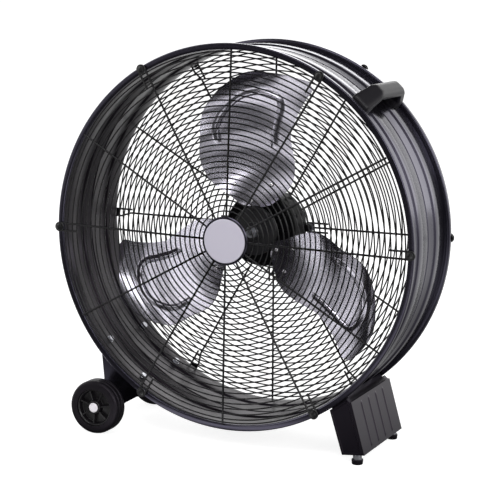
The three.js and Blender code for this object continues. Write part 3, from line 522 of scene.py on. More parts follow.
def blade(turn):
    radii = np.concatenate([
        np.linspace(BLADE_FOOT, 64, 18, endpoint=False), np.linspace(64, 150, 50, endpoint=False),
        np.linspace(150, 250, 90, endpoint=False), np.linspace(250, BLADE_TIP, 18)])
    shares = np.linspace(0, 1, 150)
    return twisted_sheet(radii, shares, 0, SHEET, turn, bead_rise)


# Mill finished aluminium sheet: bright but not polished, with fine rolling lines about 1 mm apart that
# stretch the highlights, and a little grey dulling where it was handled.
mill_aluminium, tree, spot = new_finish("mill_finished_aluminium_sheet")
drawn = add_node(tree, "ShaderNodeMapping", {"Vector": spot, "Scale": (1 / 0.03, 1 / 0.03, 1 / 0.0012)})
streaks = add_node(tree, "ShaderNodeTexNoise", {"Vector": drawn, "Scale": 1.0, "Detail": 3.0})
handled = add_node(tree, "ShaderNodeTexNoise", {"Vector": spot, "Scale": 1 / 0.05, "Detail": 4.0})
gloss = add_node(tree, "ShaderNodeMapRange", {"Value": streaks, "To Min": 0.19, "To Max": 0.22})
tint = add_node(tree, "ShaderNodeMix", {0: handled, 6: linear("#bfbcc9"), 7: linear("#dad7e2")},
                data_type="RGBA")
shader = add_node(tree, "ShaderNodeBsdfPrincipled", {
    "Base Color": tint.outputs[2], "Metallic": 1.0, "Roughness": gloss})
add_node(tree, "ShaderNodeOutputMaterial", {"Surface": shader})

# The rivets are softer aluminium, burnished bright by the setting tool.
burnished_aluminium, tree, spot = new_finish("burnished_aluminium_rivet")
marks = add_node(tree, "ShaderNodeTexNoise", {"Vector": spot, "Scale": 1 / 0.001, "Detail": 2.0})
gloss = add_node(tree, "ShaderNodeMapRange", {"Value": marks, "To Min": 0.16, "To Max": 0.26})
shader = add_node(tree, "ShaderNodeBsdfPrincipled", {
    "Base Color": linear("#efedf2"), "Metallic": 1.0, "Roughness": gloss})
add_node(tree, "ShaderNodeOutputMaterial", {"Surface": shader})

for number, turn in enumerate(BLADE_DIRECTIONS, 1):
    make_piece(f"pressed_blade_{number}", blade(turn), mill_aluminium, "impeller", [f"blade_{number}"],
               40)
    make_piece(f"blade_rivets_{number}", together([rivet(r, a, turn) for r, a in RIVETS]),
               burnished_aluminium, "impeller", [f"blade_{number}"], 40)


# ---- Wire guards ----
# Each guard is a set of 2.6 mm rings welded to twelve 3.6 mm radial wires. Every second radial is bent
# back round a screw on the rim, so its end is a narrow hairpin. Dip coated in gloss black.
RADIAL_WIRE = 1.8
RING_WIRE = 1.3
GUARD_EDGE = 100.1
FRONT_CROWN, REAR_CROWN = 5, -4
EYELET_CIRCLE = 325
PLAIN_END = 320
EYELET_BEND = 6.5
RETURN_LEG = 36
WIRE_START = 28
HANGER_BEND = 8
PLAIN_LEAN = -1.0
FRONT_RING_RADII = [316] + [309.77 - 9.27 * k for k in range(29)]
REAR_RING_RADII = [314.5] + [307 - 10.9 * k for k in range(24)]


def guard_y(radius, crown):
    return GUARD_EDGE + crown * (1 - radius / EYELET_CIRCLE)


def capped(count, rows):
    """The bands between those rows, with the first and the last row each closed by one face."""
    return bands(count, rows) + [list(range(count)), list(range((rows - 1) * count, rows * count))]


def swept(points, radius, sides=8):
    """A round wire along the points, closed at both ends."""
    path = [Vector(p) for p in points]
    verts, side = [], None
    for i, here in enumerate(path):
        along = (path[min(i + 1, len(path) - 1)] - path[max(i - 1, 0)]).normalized()
        side = along.orthogonal() if side is None else side
        side = (side - along * side.dot(along)).normalized()
        other = along.cross(side)
        for k in range(sides):
            a = 2 * math.pi * k / sides
            verts.append(tuple(here + (side * math.cos(a) + other * math.sin(a)) * radius))
    return verts, capped(sides, len(path))


def wire_ring(radius, y):
    section = [(radius + RING_WIRE * math.cos(a), y + RING_WIRE * math.sin(a))
               for a in (2 * math.pi * k / 8 for k in range(8))]
    return turned(section, 144 if radius > 120 else 96)


def radial_point(along, aside, angle, crown, front):
    x, _, z = polar(along, angle, 0)
    a = math.radians(angle)
    y = guard_y(along, crown)
    return x - math.sin(a) * aside, -y if front else y, z + math.cos(a) * aside


def half_turn(middle, reach, hand):
    turns = [math.radians(15 * step - 90) for step in range(13)]
    return [(middle + reach * math.cos(a), hand * math.sin(a)) for a in turns]


def hairpin(start, bend_at, angle, crown, front):
    """A radial wire from start that turns round the screw at bend_at and comes back beside itself."""
    hand = EYELET_BEND if front else -EYELET_BEND
    leg = [(start, 0), (bend_at - 34, 0), (bend_at - 14, -hand)]
    if front:
        leg = [(start, -hand * start / bend_at)]
    route = leg + half_turn(bend_at, EYELET_BEND, hand) + [(bend_at - RETURN_LEG, hand)]
    return swept([radial_point(r, t, angle, crown, front) for r, t in route], RADIAL_WIRE, 10)


def hanger(angle):
    """A U of wire round one of the motor's lugs, with both legs outwards beside the long wire."""
    end, bend = LUG_CIRCLE + RETURN_LEG, HANGER_BEND
    route = [(end, -bend)] + half_turn(LUG_CIRCLE, -bend, bend) + [(end, bend)]
    return swept([radial_point(r, t, angle, REAR_CROWN, False) for r, t in route], RADIAL_WIRE, 10)


def front_wires():
    parts = [wire_ring(r, -(guard_y(r, FRONT_CROWN) - RADIAL_WIRE)) for r in FRONT_RING_RADII]
    for angle in range(0, 360, 30):
        if angle % 60 == 0:
            parts.append(hairpin(WIRE_START, EYELET_CIRCLE, angle, FRONT_CROWN, True))
        else:
            ends = [radial_point(r, 0, angle + PLAIN_LEAN, FRONT_CROWN, True)
                    for r in (WIRE_START, PLAIN_END)]
            parts.append(swept(ends, RADIAL_WIRE, 10))
    return together(parts)


def rear_wires():
    parts = [wire_ring(r, guard_y(r, REAR_CROWN) - RADIAL_WIRE) for r in REAR_RING_RADII]
    for angle in range(0, 360, 30):
        outer, inner = angle % 60 == 0, angle % 90 == 0
        start = LUG_CIRCLE + 9 if inner else 54
        if outer:
            parts.append(hairpin(start, EYELET_CIRCLE, angle, REAR_CROWN, False))
        else:
            ends = [radial_point(r, 0, angle, REAR_CROWN, False) for r in (start, PLAIN_END)]
            parts.append(swept(ends, RADIAL_WIRE, 10))
        if inner:
            parts.append(hanger(angle))
    return together(parts)


# Dipped polyester on wire: the thickest and glossiest black of the fan, so each wire carries one thin
# bright line along its top.
wire_coat, tree, spot = new_finish("gloss_black_dip_coat")
runs = add_node(tree, "ShaderNodeTexNoise", {"Vector": spot, "Scale": 1 / 0.004, "Detail": 2.0})
gloss = add_node(tree, "ShaderNodeMapRange", {"Value": runs, "To Min": 0.2, "To Max": 0.3})
skin = add_node(tree, "ShaderNodeBump", {"Height": runs, "Strength": 0.2, "Distance": 0.0003})
shader = add_node(tree, "ShaderNodeBsdfPrincipled", {
    "Base Color": linear("#08070a"), "IOR": 1.42, "Roughness": gloss,
    "Normal": skin})
add_node(tree, "ShaderNodeOutputMaterial", {"Surface": shader})

make_piece("front_guard_wires", front_wires(), wire_coat, "housing", ["front_guard"], 50)
make_piece("rear_guard_wires", rear_wires(), wire_coat, "housing", ["rear_guard"], 50)


# ---- Centre plate and badge ----
# A black steel disc is welded on the front guard's crossing wires, and a plain satin disc of anodised
# aluminium is stuck on it. The disc is left blank.
PLATE_BACK = 107.1

plate_section = [(0, -PLATE_BACK), (41.5, -PLATE_BACK), (41.5, -PLATE_BACK - 1.2), (40.3, -PLATE_BACK - 2),
                 (0, -PLATE_BACK - 2)]
badge_back = PLATE_BACK + 2
badge_section = [(0, -badge_back), (37.5, -badge_back), (37.5, -badge_back - 0.9), (37.0, -badge_back - 1.6),
                 (35.9, -badge_back - 2), (0, -badge_back - 2)]
make_piece("plate_disc", turned(rounded(plate_section, 0.5, 3, closed=False), 128, loop=False), powder_coat,
           "housing", ["guard_centre_plate"], 30)

# Anodised aluminium, satin: an even pale grey with a very fine grain that spreads the light broadly.
satin_anodised, tree, spot = new_finish("satin_anodised_aluminium")
grit = add_node(tree, "ShaderNodeTexNoise", {"Vector": spot, "Scale": 1 / 0.0006, "Detail": 2.0})
gloss = add_node(tree, "ShaderNodeMapRange", {"Value": grit, "To Min": 0.38, "To Max": 0.5})
shader = add_node(tree, "ShaderNodeBsdfPrincipled", {
    "Base Color": linear("#cac6d4"), "Metallic": 0.1, "Roughness": gloss})
add_node(tree, "ShaderNodeOutputMaterial", {"Surface": shader})
make_piece("badge_disc", turned(rounded(badge_section, 0.4, 3, closed=False), 128, loop=False),
           satin_anodised, "housing", ["front_badge"], 30)


# ---- Guard screws ----
# Black pan head screws with a cross recess. Six hold each guard, each on a black washer that spreads
# its clamp over the bent wire. Four more, on zinc plated washers, hang the motor on the rear guard.
def pan_screw(radius, height, recess):
    """A domed head on z = 0 with a cross recess in its top."""
    steps, rings = 72, 18
    turns = [math.radians(360 / steps * i) for i in range(steps)]
    rows = [(radius, 0), (radius, height * 0.35), (radius * 0.97, height * 0.6)]
    verts = [(r * math.cos(a), r * math.sin(a), z) for r, z in rows for a in turns]
    for ring in range(rings):
        share = 1 - (ring + 1) / (rings + 1)
        r = radius * 0.97 * share
        for a in turns:
            x, y = r * math.cos(a), r * math.sin(a)
            z = height * (0.6 + 0.4 * math.cos(share * math.pi / 2) ** 0.8)
            wing, reach = min(abs(x), abs(y)), max(abs(x), abs(y))
            depth = min(1, max(0, (recess * 0.32 - wing) / (recess * 0.08))) * (reach < recess)
            verts.append((x, y, z - depth * height * 0.45))
    return verts, capped(steps, len(rows) + rings)


def washer(inner, outer, thick):
    section = [(inner, 0), (outer - 0.3, 0), (outer, 0.3), (outer, thick - 0.3), (outer - 0.3, thick),
               (inner, thick)]
    verts, faces = turned(section, 40, (0, 0))
    return [(x, -z, y) for x, y, z in verts], faces


def guard_screw(radius, angle, front, spin):
    crown = FRONT_CROWN if front else REAR_CROWN
    out = -1 if front else 1
    foot = guard_y(radius, crown) + RADIAL_WIRE
    at = polar(radius, angle, out * (foot + 0.9))
    head = placed(pan_screw(5.6, 2.6, 3.4), at, (0, out, 0), spin)
    shank_to = polar(radius, angle, out * (foot - 12))
    ring = placed(washer(2.6, 8.4, 0.8), polar(radius, angle, out * (foot + 0.05)), (0, out, 0))
    return together([head, swept([at, shank_to], 2.4, 12)]), ring


# Black oxide on steel, oiled: nearly as dark as the paint, with a tighter gleam and a fine 0.5 mm grain.
black_oxide, tree, spot = new_finish("oiled_black_oxide")
oil = add_node(tree, "ShaderNodeTexNoise", {"Vector": spot, "Scale": 1 / 0.0005, "Detail": 2.0})
gloss = add_node(tree, "ShaderNodeMapRange", {"Value": oil, "To Min": 0.25, "To Max": 0.4})
shader = add_node(tree, "ShaderNodeBsdfPrincipled", {
    "Base Color": linear("#0d0c0e"), "IOR": 1.6, "Roughness": gloss})
add_node(tree, "ShaderNodeOutputMaterial", {"Surface": shader})


for number, angle in enumerate(range(0, 360, 60), 1):
    for side, front in (("front", True), ("rear", False)):
        screw, ring = guard_screw(EYELET_CIRCLE, angle, front, 17 * number)
        stands_for = [f"{side}_guard_screw_{number}"]
        make_piece(f"pan_screw_{side}_{number}", screw, black_oxide, "housing", stands_for, 28)
        make_piece(f"washer_{side}_{number}", ring, black_oxide, "housing", stands_for, 28)
for number, angle in enumerate((0, 90, 180, 270), 1):
    screw, ring = guard_screw(LUG_CIRCLE, angle, False, 23 * number)
    inner_ring = placed(washer(6.2, 8.4, 0.9), polar(LUG_CIRCLE, angle, LUG_TOP - 0.7), (0, 1, 0))
    stands_for = [f"motor_mount_screw_{number}"]
    make_piece(f"motor_hanging_screw_{number}", screw, black_oxide, "housing", stands_for, 28)
    make_piece(f"motor_washers_{number}", together([ring, inner_ring]), zinc_plate, "housing", stands_for,
               28)


# ---- Wheel bracket ----
# A bent steel saddle under the drum's left side, with two gusset plates welded to it and a tube along
# their lower corner for the axle. Powder coated with the drum, and held by four zinc plated bolts.
SADDLE_INNER, SADDLE_OUTER = 325, 327.5
SADDLE_FROM, SADDLE_TO = 211.2, 241.7
SADDLE_HALF = 78
GUSSET_INNER, GUSSET_OUTER = 44, 46.5
GUSSET_CORNERS = [(-191, 56), (-201, 54), (-225, 40), (-236, 31), (-247, 29), (-257, 33),
                  (-264, 42), (-265, 55)]
WHEEL_X, WHEEL_RADIUS = -245, 47.5
BOLT_DIRECTIONS = (219.5, 235.9)
BOLT_PLACE, BOLT_SEAT = 63, 318.9


def arc(radius, start, end, steps):
    points = [polar(radius, start + (end - start) * i / steps, 0) for i in range(steps + 1)]
    return [(x, z) for x, _, z in points]


def inset(outline, amount):
    """The outline moved inwards by that amount, corner by corner."""
    count = len(outline)
    area = sum(outline[i - 1][0] * outline[i][1] - outline[i][0] * outline[i - 1][1] for i in range(count))
    way = 1 if area > 0 else -1
    out = []
    for i in range(count):
        here = Vector(outline[i])
        a = (here - Vector(outline[i - 1])).normalized()
        b = (Vector(outline[(i + 1) % count]) - here).normalized()
        bisector = Vector((-(a.y + b.y), a.x + b.x)) * way
        length = max(bisector.length, 1e-6)
        bisector /= length
        scale = amount / max(0.35, length / 2)
        out.append(tuple(here + bisector * scale))
    return out


def plate(outline, y0, y1, bevel):
    """A flat plate between y0 and y1 from its outline in x and z, with a small bevel on both faces."""
    inner = inset(outline, bevel)
    rows = [(inner, y0), (outline, y0 + bevel), (outline, y1 - bevel), (inner, y1)]
    verts = [(x, y, z) for ring, y in rows for x, z in ring]
    count = len(outline)
    return verts, [list(range(count)), list(range(3 * count, 4 * count))] + bands(count, 4)


def bracket():
    saddle = arc(SADDLE_OUTER, SADDLE_FROM, SADDLE_TO, 40) + arc(SADDLE_INNER, SADDLE_TO, SADDLE_FROM, 40)
    web = arc(SADDLE_INNER + 1, SADDLE_FROM, SADDLE_TO, 40) + rounded(GUSSET_CORNERS, 6, 4, closed=False)
    parts = [plate(saddle, -SADDLE_HALF, SADDLE_HALF, 0.5)]
    for side in (-1, 1):
        near, far = sorted((side * GUSSET_INNER, side * GUSSET_OUTER))
        parts.append(plate(web, near, far, 0.4))
    tube = [(6.3, -92.4), (10, -92.4), (10, 92.4), (6.3, 92.4)]
    parts.append(turned(rounded(tube, 0.6, 3), 64, (WHEEL_X, WHEEL_RADIUS)))
    return together(parts)


make_piece("welded_wheel_bracket", bracket(), powder_coat, "housing", ["wheel_bracket"], 32)


def bracket_bolt(angle, y):
    inward = Vector(polar(1, angle + 180, 0)) - Vector((0, 0, AXIS_HEIGHT))
    seat = Vector(polar(BOLT_SEAT, angle, y))
    under = Vector(polar(SADDLE_OUTER + 0.3, angle, y))
    head = placed(hexagon_nut(12, 0.4, 4.2), seat + inward * 1.3, inward, 10)
    ring = placed(washer(3.1, 6.4, 1.2), seat + inward * 0.1, inward)
    nut = placed(hexagon_nut(12, 2.9, 4.7), under, -inward, 25)
    shank = swept([seat + inward * 3, seat - inward * 12.4], 3, 16)
    return together([head, ring, nut, shank])


bolts = [(angle, y) for y in (-BOLT_PLACE, BOLT_PLACE) for angle in BOLT_DIRECTIONS]
for number, (angle, y) in enumerate(bolts, 1):
    make_piece(f"hexagon_bolt_{number}", bracket_bolt(angle, y), zinc_plate, "housing",
               [f"bracket_bolt_{number}"], 25)


# ---- Wheels ----
# Two wheels run free on the axle's ends: a solid rubber tyre on a moulded polypropylene hub with a
# recess and seven ribs. A white nylon cap is pressed on each end of the axle.
WHEEL_NEAR, WHEEL_FAR = 93.4, 125.6
HUB_RADIUS = 33


def tyre(side):
    a, b = WHEEL_NEAR, WHEEL_FAR
    middle = (a + b) / 2
    half = [(33.3, 0), (35, -0.3), (41, -1.2), (44.5, 0.6), (46.6, 3.2), (47.5, 6.5), (47.5, 9.3),
            (46.4, 10.1), (46.4, 11.2), (47.5, 12.0), (47.5, 16.1)]
    near = [(r, a + max(d, 0)) for r, d in half]
    far = [(r, 2 * middle - y) for r, y in reversed(near[:-1])]
    section = rounded([(r, side * y) for r, y in near + far], 0.8, 2)
    return turned(section, 128, (WHEEL_X, WHEEL_RADIUS))


def wheel_hub(side):
    a, b = WHEEL_NEAR, WHEEL_FAR
    middle = (a + b) / 2
    section = [(6.3, a + 0.5), (12, a + 0.5), (13, middle - 5), (27, middle - 5), (29, a + 2), (33, a + 2),
               (33, b - 2), (31.2, b - 2), (29.6, b - 4), (28, middle + 4.5), (13.5, middle + 4.5),
               (11.5, b - 2.2), (10.7, b - 1.5), (6.3, b - 1.5)]
    parts = [turned(rounded([(r, side * y) for r, y in section], 1, 3), 96, (WHEEL_X, WHEEL_RADIUS))]
    for k in range(7):
        a0 = math.radians(360 / 7 * k + 8)
        ux, uz = math.cos(a0), math.sin(a0)
        corners = []
        for r, w in ((11.5, -1.1), (29.3, -1.5), (29.3, 1.5), (11.5, 1.1)):
            corners.append((WHEEL_X + r * ux - w * uz, WHEEL_RADIUS + r * uz + w * ux))
        near, far = sorted((side * (middle + 3), side * (b - 4)))
        parts.append(plate(corners, near, far, 0.4))
    return together(parts)


# Moulded polypropylene, black: a low sheen with a faint spark eroded texture of about 0.8 mm.
black_plastic, tree, spot = new_finish("black_moulded_polypropylene")
spark = add_node(tree, "ShaderNodeTexNoise", {"Vector": spot, "Scale": 1 / 0.0008, "Detail": 2.0})
skin = add_node(tree, "ShaderNodeBump", {"Height": spark, "Strength": 0.3, "Distance": 0.0001})
shader = add_node(tree, "ShaderNodeBsdfPrincipled", {
    "Base Color": linear("#110f12"), "IOR": 1.42, "Roughness": 0.3, "Normal": skin})
add_node(tree, "ShaderNodeOutputMaterial", {"Surface": shader})

# Solid rubber: dull black with a dry bloom, scuffed a little paler in patches of about 6 mm.
tyre_rubber, tree, spot = new_finish("solid_black_rubber")
scuff = add_node(tree, "ShaderNodeTexNoise", {"Vector": spot, "Scale": 1 / 0.006, "Detail": 5.0})
tint = add_node(tree, "ShaderNodeMix", {0: scuff, 6: linear("#0d0c0e"), 7: linear("#19171b")},
                data_type="RGBA")
skin = add_node(tree, "ShaderNodeBump", {"Height": scuff, "Strength": 0.3, "Distance": 0.0003})
shader = add_node(tree, "ShaderNodeBsdfPrincipled", {
    "Base Color": tint.outputs[2], "IOR": 1.3, "Roughness": 0.4,
    "Specular Tint": linear("#f4e6fa"), "Normal": skin})
add_node(tree, "ShaderNodeOutputMaterial", {"Surface": shader})

# Nylon, natural white: slightly waxy, so the edges stay soft.
white_nylon, tree, spot = new_finish("white_nylon")
wax = add_node(tree, "ShaderNodeTexNoise", {"Vector": spot, "Scale": 1 / 0.003, "Detail": 2.0})
gloss = add_node(tree, "ShaderNodeMapRange", {"Value": wax, "To Min": 0.3, "To Max": 0.42})
shader = add_node(tree, "ShaderNodeBsdfPrincipled", {
    "Base Color": linear("#e6e2e8"), "IOR": 1.53, "Roughness": gloss,
    "Subsurface Weight": 0.1, "Subsurface Radius": (0.002, 0.002, 0.002)})
add_node(tree, "ShaderNodeOutputMaterial", {"Surface": shader})


def cap(side):
    section = [(0, 124.6), (8.5, 124.6), (8.5, 126), (7.9, 126.6), (6.5, 127), (0, 127)]
    soft = rounded([(r, side * y) for r, y in section], 0.5, 3, closed=False)
    return turned(soft, 64, (WHEEL_X, WHEEL_RADIUS), loop=False)


for name, side in (("front", -1), ("rear", 1)):
    body = f"{name}_wheel"
    make_piece(f"{name}_tyre", tyre(side), tyre_rubber, body, [f"{name}_wheel_tyre"], 40)
    make_piece(f"{name}_ribbed_hub", wheel_hub(side), black_plastic, body, [f"{name}_wheel_hub"],
               35)
    make_piece(f"{name}_nylon_cap", cap(side), white_nylon, "housing", [f"{name}_axle_cap"],
               35)


# ---- Control box ----
# A folded steel box on the drum's right side that holds the speed switch and the motor's capacitor, and
# carries its two feet. Its outer cover has pressed ridges; the end faces are set in a narrow border.
BOX_LENGTH, NECK_LENGTH = 93, 82
BOX_OUTER = [(251, 18), (226, 106)]
BOX_INNER = [(211, 14), (176, 119)]
COVER_SHEET = 2.5
RIM_CLEAR, WALL_CLEAR = 331.6, 324.8


def face_normal():
    (ax, az), (dx, dz) = BOX_OUTER
    length = math.hypot(dx - ax, dz - az)
    return (dz - az) / length, (ax - dx) / length


def cover_back(depth):
    """The two ends of the line that lies that deep behind the box's outer face."""
    nx, nz = face_normal()
    (ax, az), (dx, dz) = BOX_OUTER
    bx, bz = BOX_INNER[0]
    share = depth / ((ax - bx) * nx + (az - bz) * nz)
    return (ax + (bx - ax) * share, az + (bz - az) * share), (dx - nx * depth, dz - nz * depth)


def clipped(outline, radius):
    """The outline with what lies inside a circle round the drum's axis cut away along the circle."""
    dense = []
    for i, here in enumerate(outline):
        there = outline[(i + 1) % len(outline)]
        for step in range(60):
            t = step / 60
            dense.append((here[0] + (there[0] - here[0]) * t, here[1] + (there[1] - here[1]) * t))
    out = []
    for x, z in dense:
        away = math.hypot(x, z - AXIS_HEIGHT)
        if away < radius:
            x, z = x * radius / away, AXIS_HEIGHT + (z - AXIS_HEIGHT) * radius / away
        if not out or math.hypot(x - out[-1][0], z - out[-1][1]) > 0.7:
            out.append((x, z))
    return out


low, high = cover_back(COVER_SHEET)
box_outline = [low, high, (196, 127), (176, 125), BOX_INNER[0]]
wide = clipped(inset(box_outline, 0.0), RIM_CLEAR)
neck = clipped(box_outline, WALL_CLEAR)


def end_face(side):
    """The folded border and the end plate set back in it."""
    y_out, y_in = side * BOX_LENGTH, side * (BOX_LENGTH - 1.6)
    border = inset(wide, 3.2)
    step = inset(wide, 4.2)
    rows = [(wide, side * (BOX_LENGTH - 0.8)), (inset(wide, 0.8), y_out), (border, y_out), (step, y_in)]
    verts = [(x, y, z) for ring, y in rows for x, z in ring]
    return verts, bands(len(wide), 4) + [list(range(3 * len(wide), 4 * len(wide)))]


def box_body():
    count = len(wide)
    verts, faces = together([end_face(-1), end_face(1)])
    block = len(verts) // 2
    for i in range(count):
        j = (i + 1) % count
        faces.append([i, j, block + j, block + i])
    return verts, faces


# Folded steel sheet under a dark grey hammer finish enamel: soft gloss, with shallow dimples of 2 mm.
box_enamel, tree, spot = new_finish("dark_grey_box_enamel")
dimple = add_node(tree, "ShaderNodeTexNoise", {"Vector": spot, "Scale": 1 / 0.0022, "Detail": 1.0})
skin = add_node(tree, "ShaderNodeBump", {"Height": dimple, "Strength": 0.25, "Distance": 0.0002})
shader = add_node(tree, "ShaderNodeBsdfPrincipled", {
    "Base Color": linear("#131116"), "IOR": 1.36, "Roughness": 0.34,
    "Specular Tint": linear("#f4e2ff"), "Normal": skin})
add_node(tree, "ShaderNodeOutputMaterial", {"Surface": shader})

neck_plate = plate(neck, -NECK_LENGTH, NECK_LENGTH, 0.5)
make_piece("folded_box_body", together([box_body(), neck_plate]), box_enamel, "housing",
           ["control_box_housing"], 30)


def box_cover():
    """The outer cover: a sheet with four pressed ridges running up it, made as a fine strip grid."""
    (ax, az), (dx, dz) = BOX_OUTER
    nx, nz = face_normal()
    places = np.linspace(-BOX_LENGTH, BOX_LENGTH, 187)
    heights = np.linspace(0, 1, 60)
    verts = []
    for t in heights:
        x0, z0 = ax + (dx - ax) * t, az + (dz - az) * t
        for y in places:
            depth = 0.0
            inside = min(1.0, max(0.0, min(t - 0.07, 0.93 - t) / 0.03))
            for middle in (-52, -18, 16, 50):
                swell = 0.5 + 0.5 * math.cos(math.pi * min(1, abs(y - middle) / 4))
                depth = max(depth, swell * 1.4 * inside)
            verts.append((x0 + nx * depth, y, z0 + nz * depth))
    (lx, lz), (hx, hz) = cover_back(COVER_SHEET)
    for t in heights:
        x0, z0 = lx + (hx - lx) * t, lz + (hz - lz) * t
        verts.extend((x0, y, z0) for y in places)
    return verts, sheet_faces(len(heights), len(places))


make_piece("pressed_box_cover", box_cover(), box_enamel, "housing", ["control_box_cover"], 40)

# Inside the box: a switch moulded in black plastic, and a can capacitor in a pale plastic case.
nodes["speed_switch"].material_slots[0].material = black_plastic
nodes["run_capacitor"].material_slots[0].material = white_nylon


# ---- Speed knob and cable inlet ----
# A fluted knob of black moulded plastic on the box's rear face picks the speed. Below it a screwed
# gland of the same plastic waits for a lead.
KNOB_AT = (217, 66)
GLAND_AT = (228, 34)


def fluted_knob():
    steps = 144
    rows = [(13.2, 93.6, 0), (14, 94.6, 0), (13.6, 98, 1), (13.0, 104.4, 1), (12.4, 105.6, 0.3),
            (11.4, 106.0, 0)]
    verts = []
    for radius, y, flute in rows:
        for i in range(steps):
            a = 2 * math.pi * i / steps
            r = radius - 0.5 * flute * (0.5 + 0.5 * math.cos(24 * a))
            verts.append((KNOB_AT[0] + r * math.cos(a), y, KNOB_AT[1] + r * math.sin(a)))
    x, z = KNOB_AT
    grip = rounded([(x - 2.5, z - 12), (x + 2.5, z - 12), (x + 2.5, z + 12), (x - 2.5, z + 12)], 2, 4)
    return together([(verts, capped(steps, len(rows))), plate(grip, 105, 110, 0.6)])


make_piece("fluted_speed_knob", fluted_knob(), black_plastic, "knob", ["speed_knob"], 35)


def cable_inlet():
    x, z = GLAND_AT
    flange = placed(hexagon_nut(20, 8, 4), (x, 93, z), (0, 1, 0))
    body = [(4, 96), (8, 93.2), (8, 103.5), (7.2, 105), (4.6, 105), (4, 104.2)]
    return together([flange, turned(rounded(body, 0.5, 3), 48, (x, z))])


make_piece("screwed_cable_inlet", cable_inlet(), black_plastic, "housing", ["cable_gland"],
           30)


# ---- Feet ----
# Two moulded rubber feet under the control box. Each is pushed on a zinc plated stud, whose hexagon
# collar bears against the box.
FOOT_X = 236
FOOT_PLACES = {"front": -85, "rear": 85}


def foot_stud(y):
    (x0, z0), (x1, z1) = BOX_INNER[0], BOX_OUTER[0]
    under = z0 + (FOOT_X - x0) * (z1 - z0) / (x1 - x0) - 0.6
    collar = placed(hexagon_nut(15, 0.5, under - 9), (FOOT_X, y, 9), (0, 0, 1), 14)
    shank = swept([(FOOT_X, y, 9.2), (FOOT_X, y, 22)], 4, 24)
    return together([collar, shank])


def rubber_foot(y):
    section = [(0, 0), (8.6, 0), (9.2, 0.7), (9.9, 7.6), (9.2, 9), (0, 9)]
    verts, faces = turned(rounded(section, 0.7, 3, closed=False), 64, (0, 0), loop=False)
    return [(FOOT_X + vx, y + vz, vy) for vx, vy, vz in verts], faces


for name, y in FOOT_PLACES.items():
    make_piece(f"plated_stud_{name}", foot_stud(y), zinc_plate, "housing", [f"foot_stud_{name}"],
               25)
    make_piece(f"foot_pad_{name}", rubber_foot(y), tyre_rubber, "housing", [f"rubber_foot_{name}"],
               35)


# ---- Carry handle ----
# A moulded nylon bow across the drum at its upper right, one leg by each rim, screwed on from inside.
# Its legs are broad at the drum and narrow towards the grip, and every edge is bevelled.
HANDLE_DIRECTION = 46.4
HANDLE_FOOT = 321.8
HANDLE_OUTER = [(-86, 318), (-86, 334), (-50, 361), (50, 361), (86, 334), (86, 318)]
HANDLE_SECTIONS = 101
HANDLE_SCREW_SEAT, HANDLE_SCREW_PLACE = 317.8, 79.5
HANDLE_INNER = [(-60, 318), (-60, 332), (-44, 347), (44, 347), (60, 332), (60, 318)]


def half_width(radius):
    return float(np.interp(radius, [300, 355, 361], [21, 14.5, 10]))


def handle():
    """Sections from the front leg over the grip to the rear leg, each a rounded block."""
    outer = rounded(HANDLE_OUTER, 9, 8, closed=False)
    inner = rounded(HANDLE_INNER, 7, 8, closed=False)

    def even(path, corners):
        pts = np.array(path)
        run = np.concatenate([[0], np.cumsum(np.hypot(*np.diff(pts, axis=0).T))])
        marks = np.interp(np.linspace(0, 5, HANDLE_SECTIONS), range(6), [0] + [
            run[np.argmin(np.hypot(*(pts - np.array(c)).T))] for c in corners] + [run[-1]])
        return [tuple(np.array([np.interp(m, run, pts[:, k]) for k in (0, 1)])) for m in marks]
    rim_outer, rim_inner = even(outer, HANDLE_OUTER[1:5]), even(inner, HANDLE_INNER[1:5])
    section = []
    for k in range(48):
        a = 2 * math.pi * k / 48
        c, s = math.cos(a), math.sin(a)
        grow = 1 / (abs(c) ** 5 + abs(s) ** 5) ** (1 / 5)
        section.append((c * grow, s * grow))
    verts, turn = [], math.radians(HANDLE_DIRECTION)
    for (yo, ro), (yi, ri) in zip(rim_outer, rim_inner):
        for c, s in section:
            u = 0.5 + 0.5 * c
            y, r = yi + (yo - yi) * u, ri + (ro - ri) * u
            v = s * half_width(r)
            r = max(r, math.sqrt(HANDLE_FOOT ** 2 - v ** 2))
            verts.append((r * math.cos(turn) - v * math.sin(turn), y,
                          AXIS_HEIGHT + r * math.sin(turn) + v * math.cos(turn)))
    return verts, capped(len(section), HANDLE_SECTIONS)


# Glass filled nylon, black: a hard satin plastic, its moulded skin slightly pebbled at about 1 mm.
handle_nylon, tree, spot = new_finish("black_glass_filled_nylon")
pebble = add_node(tree, "ShaderNodeTexNoise", {"Vector": spot, "Scale": 1 / 0.0011, "Detail": 2.0})
skin = add_node(tree, "ShaderNodeBump", {"Height": pebble, "Strength": 0.35, "Distance": 0.0002})
shader = add_node(tree, "ShaderNodeBsdfPrincipled", {
    "Base Color": linear("#141217"), "IOR": 1.34, "Roughness": 0.42, "Normal": skin})
add_node(tree, "ShaderNodeOutputMaterial", {"Surface": shader})
make_piece("moulded_carry_handle", handle(), handle_nylon, "housing", ["carry_handle"], 45)


def handle_screw(y):
    inward = Vector(polar(1, HANDLE_DIRECTION + 180, 0)) - Vector((0, 0, AXIS_HEIGHT))
    seat = Vector(polar(HANDLE_SCREW_SEAT, HANDLE_DIRECTION, y))
    head = placed(pan_screw(5.2, 3.2, 3.2), seat, inward, 20)
    return together([head, swept([seat + inward * 0.5, seat - inward * 8], 2.4, 12)])


for name, y in (("front", -HANDLE_SCREW_PLACE), ("rear", HANDLE_SCREW_PLACE)):
    make_piece(f"pan_screw_handle_{name}", handle_screw(y), zinc_plate, "housing", [f"handle_screw_{name}"],
               28)
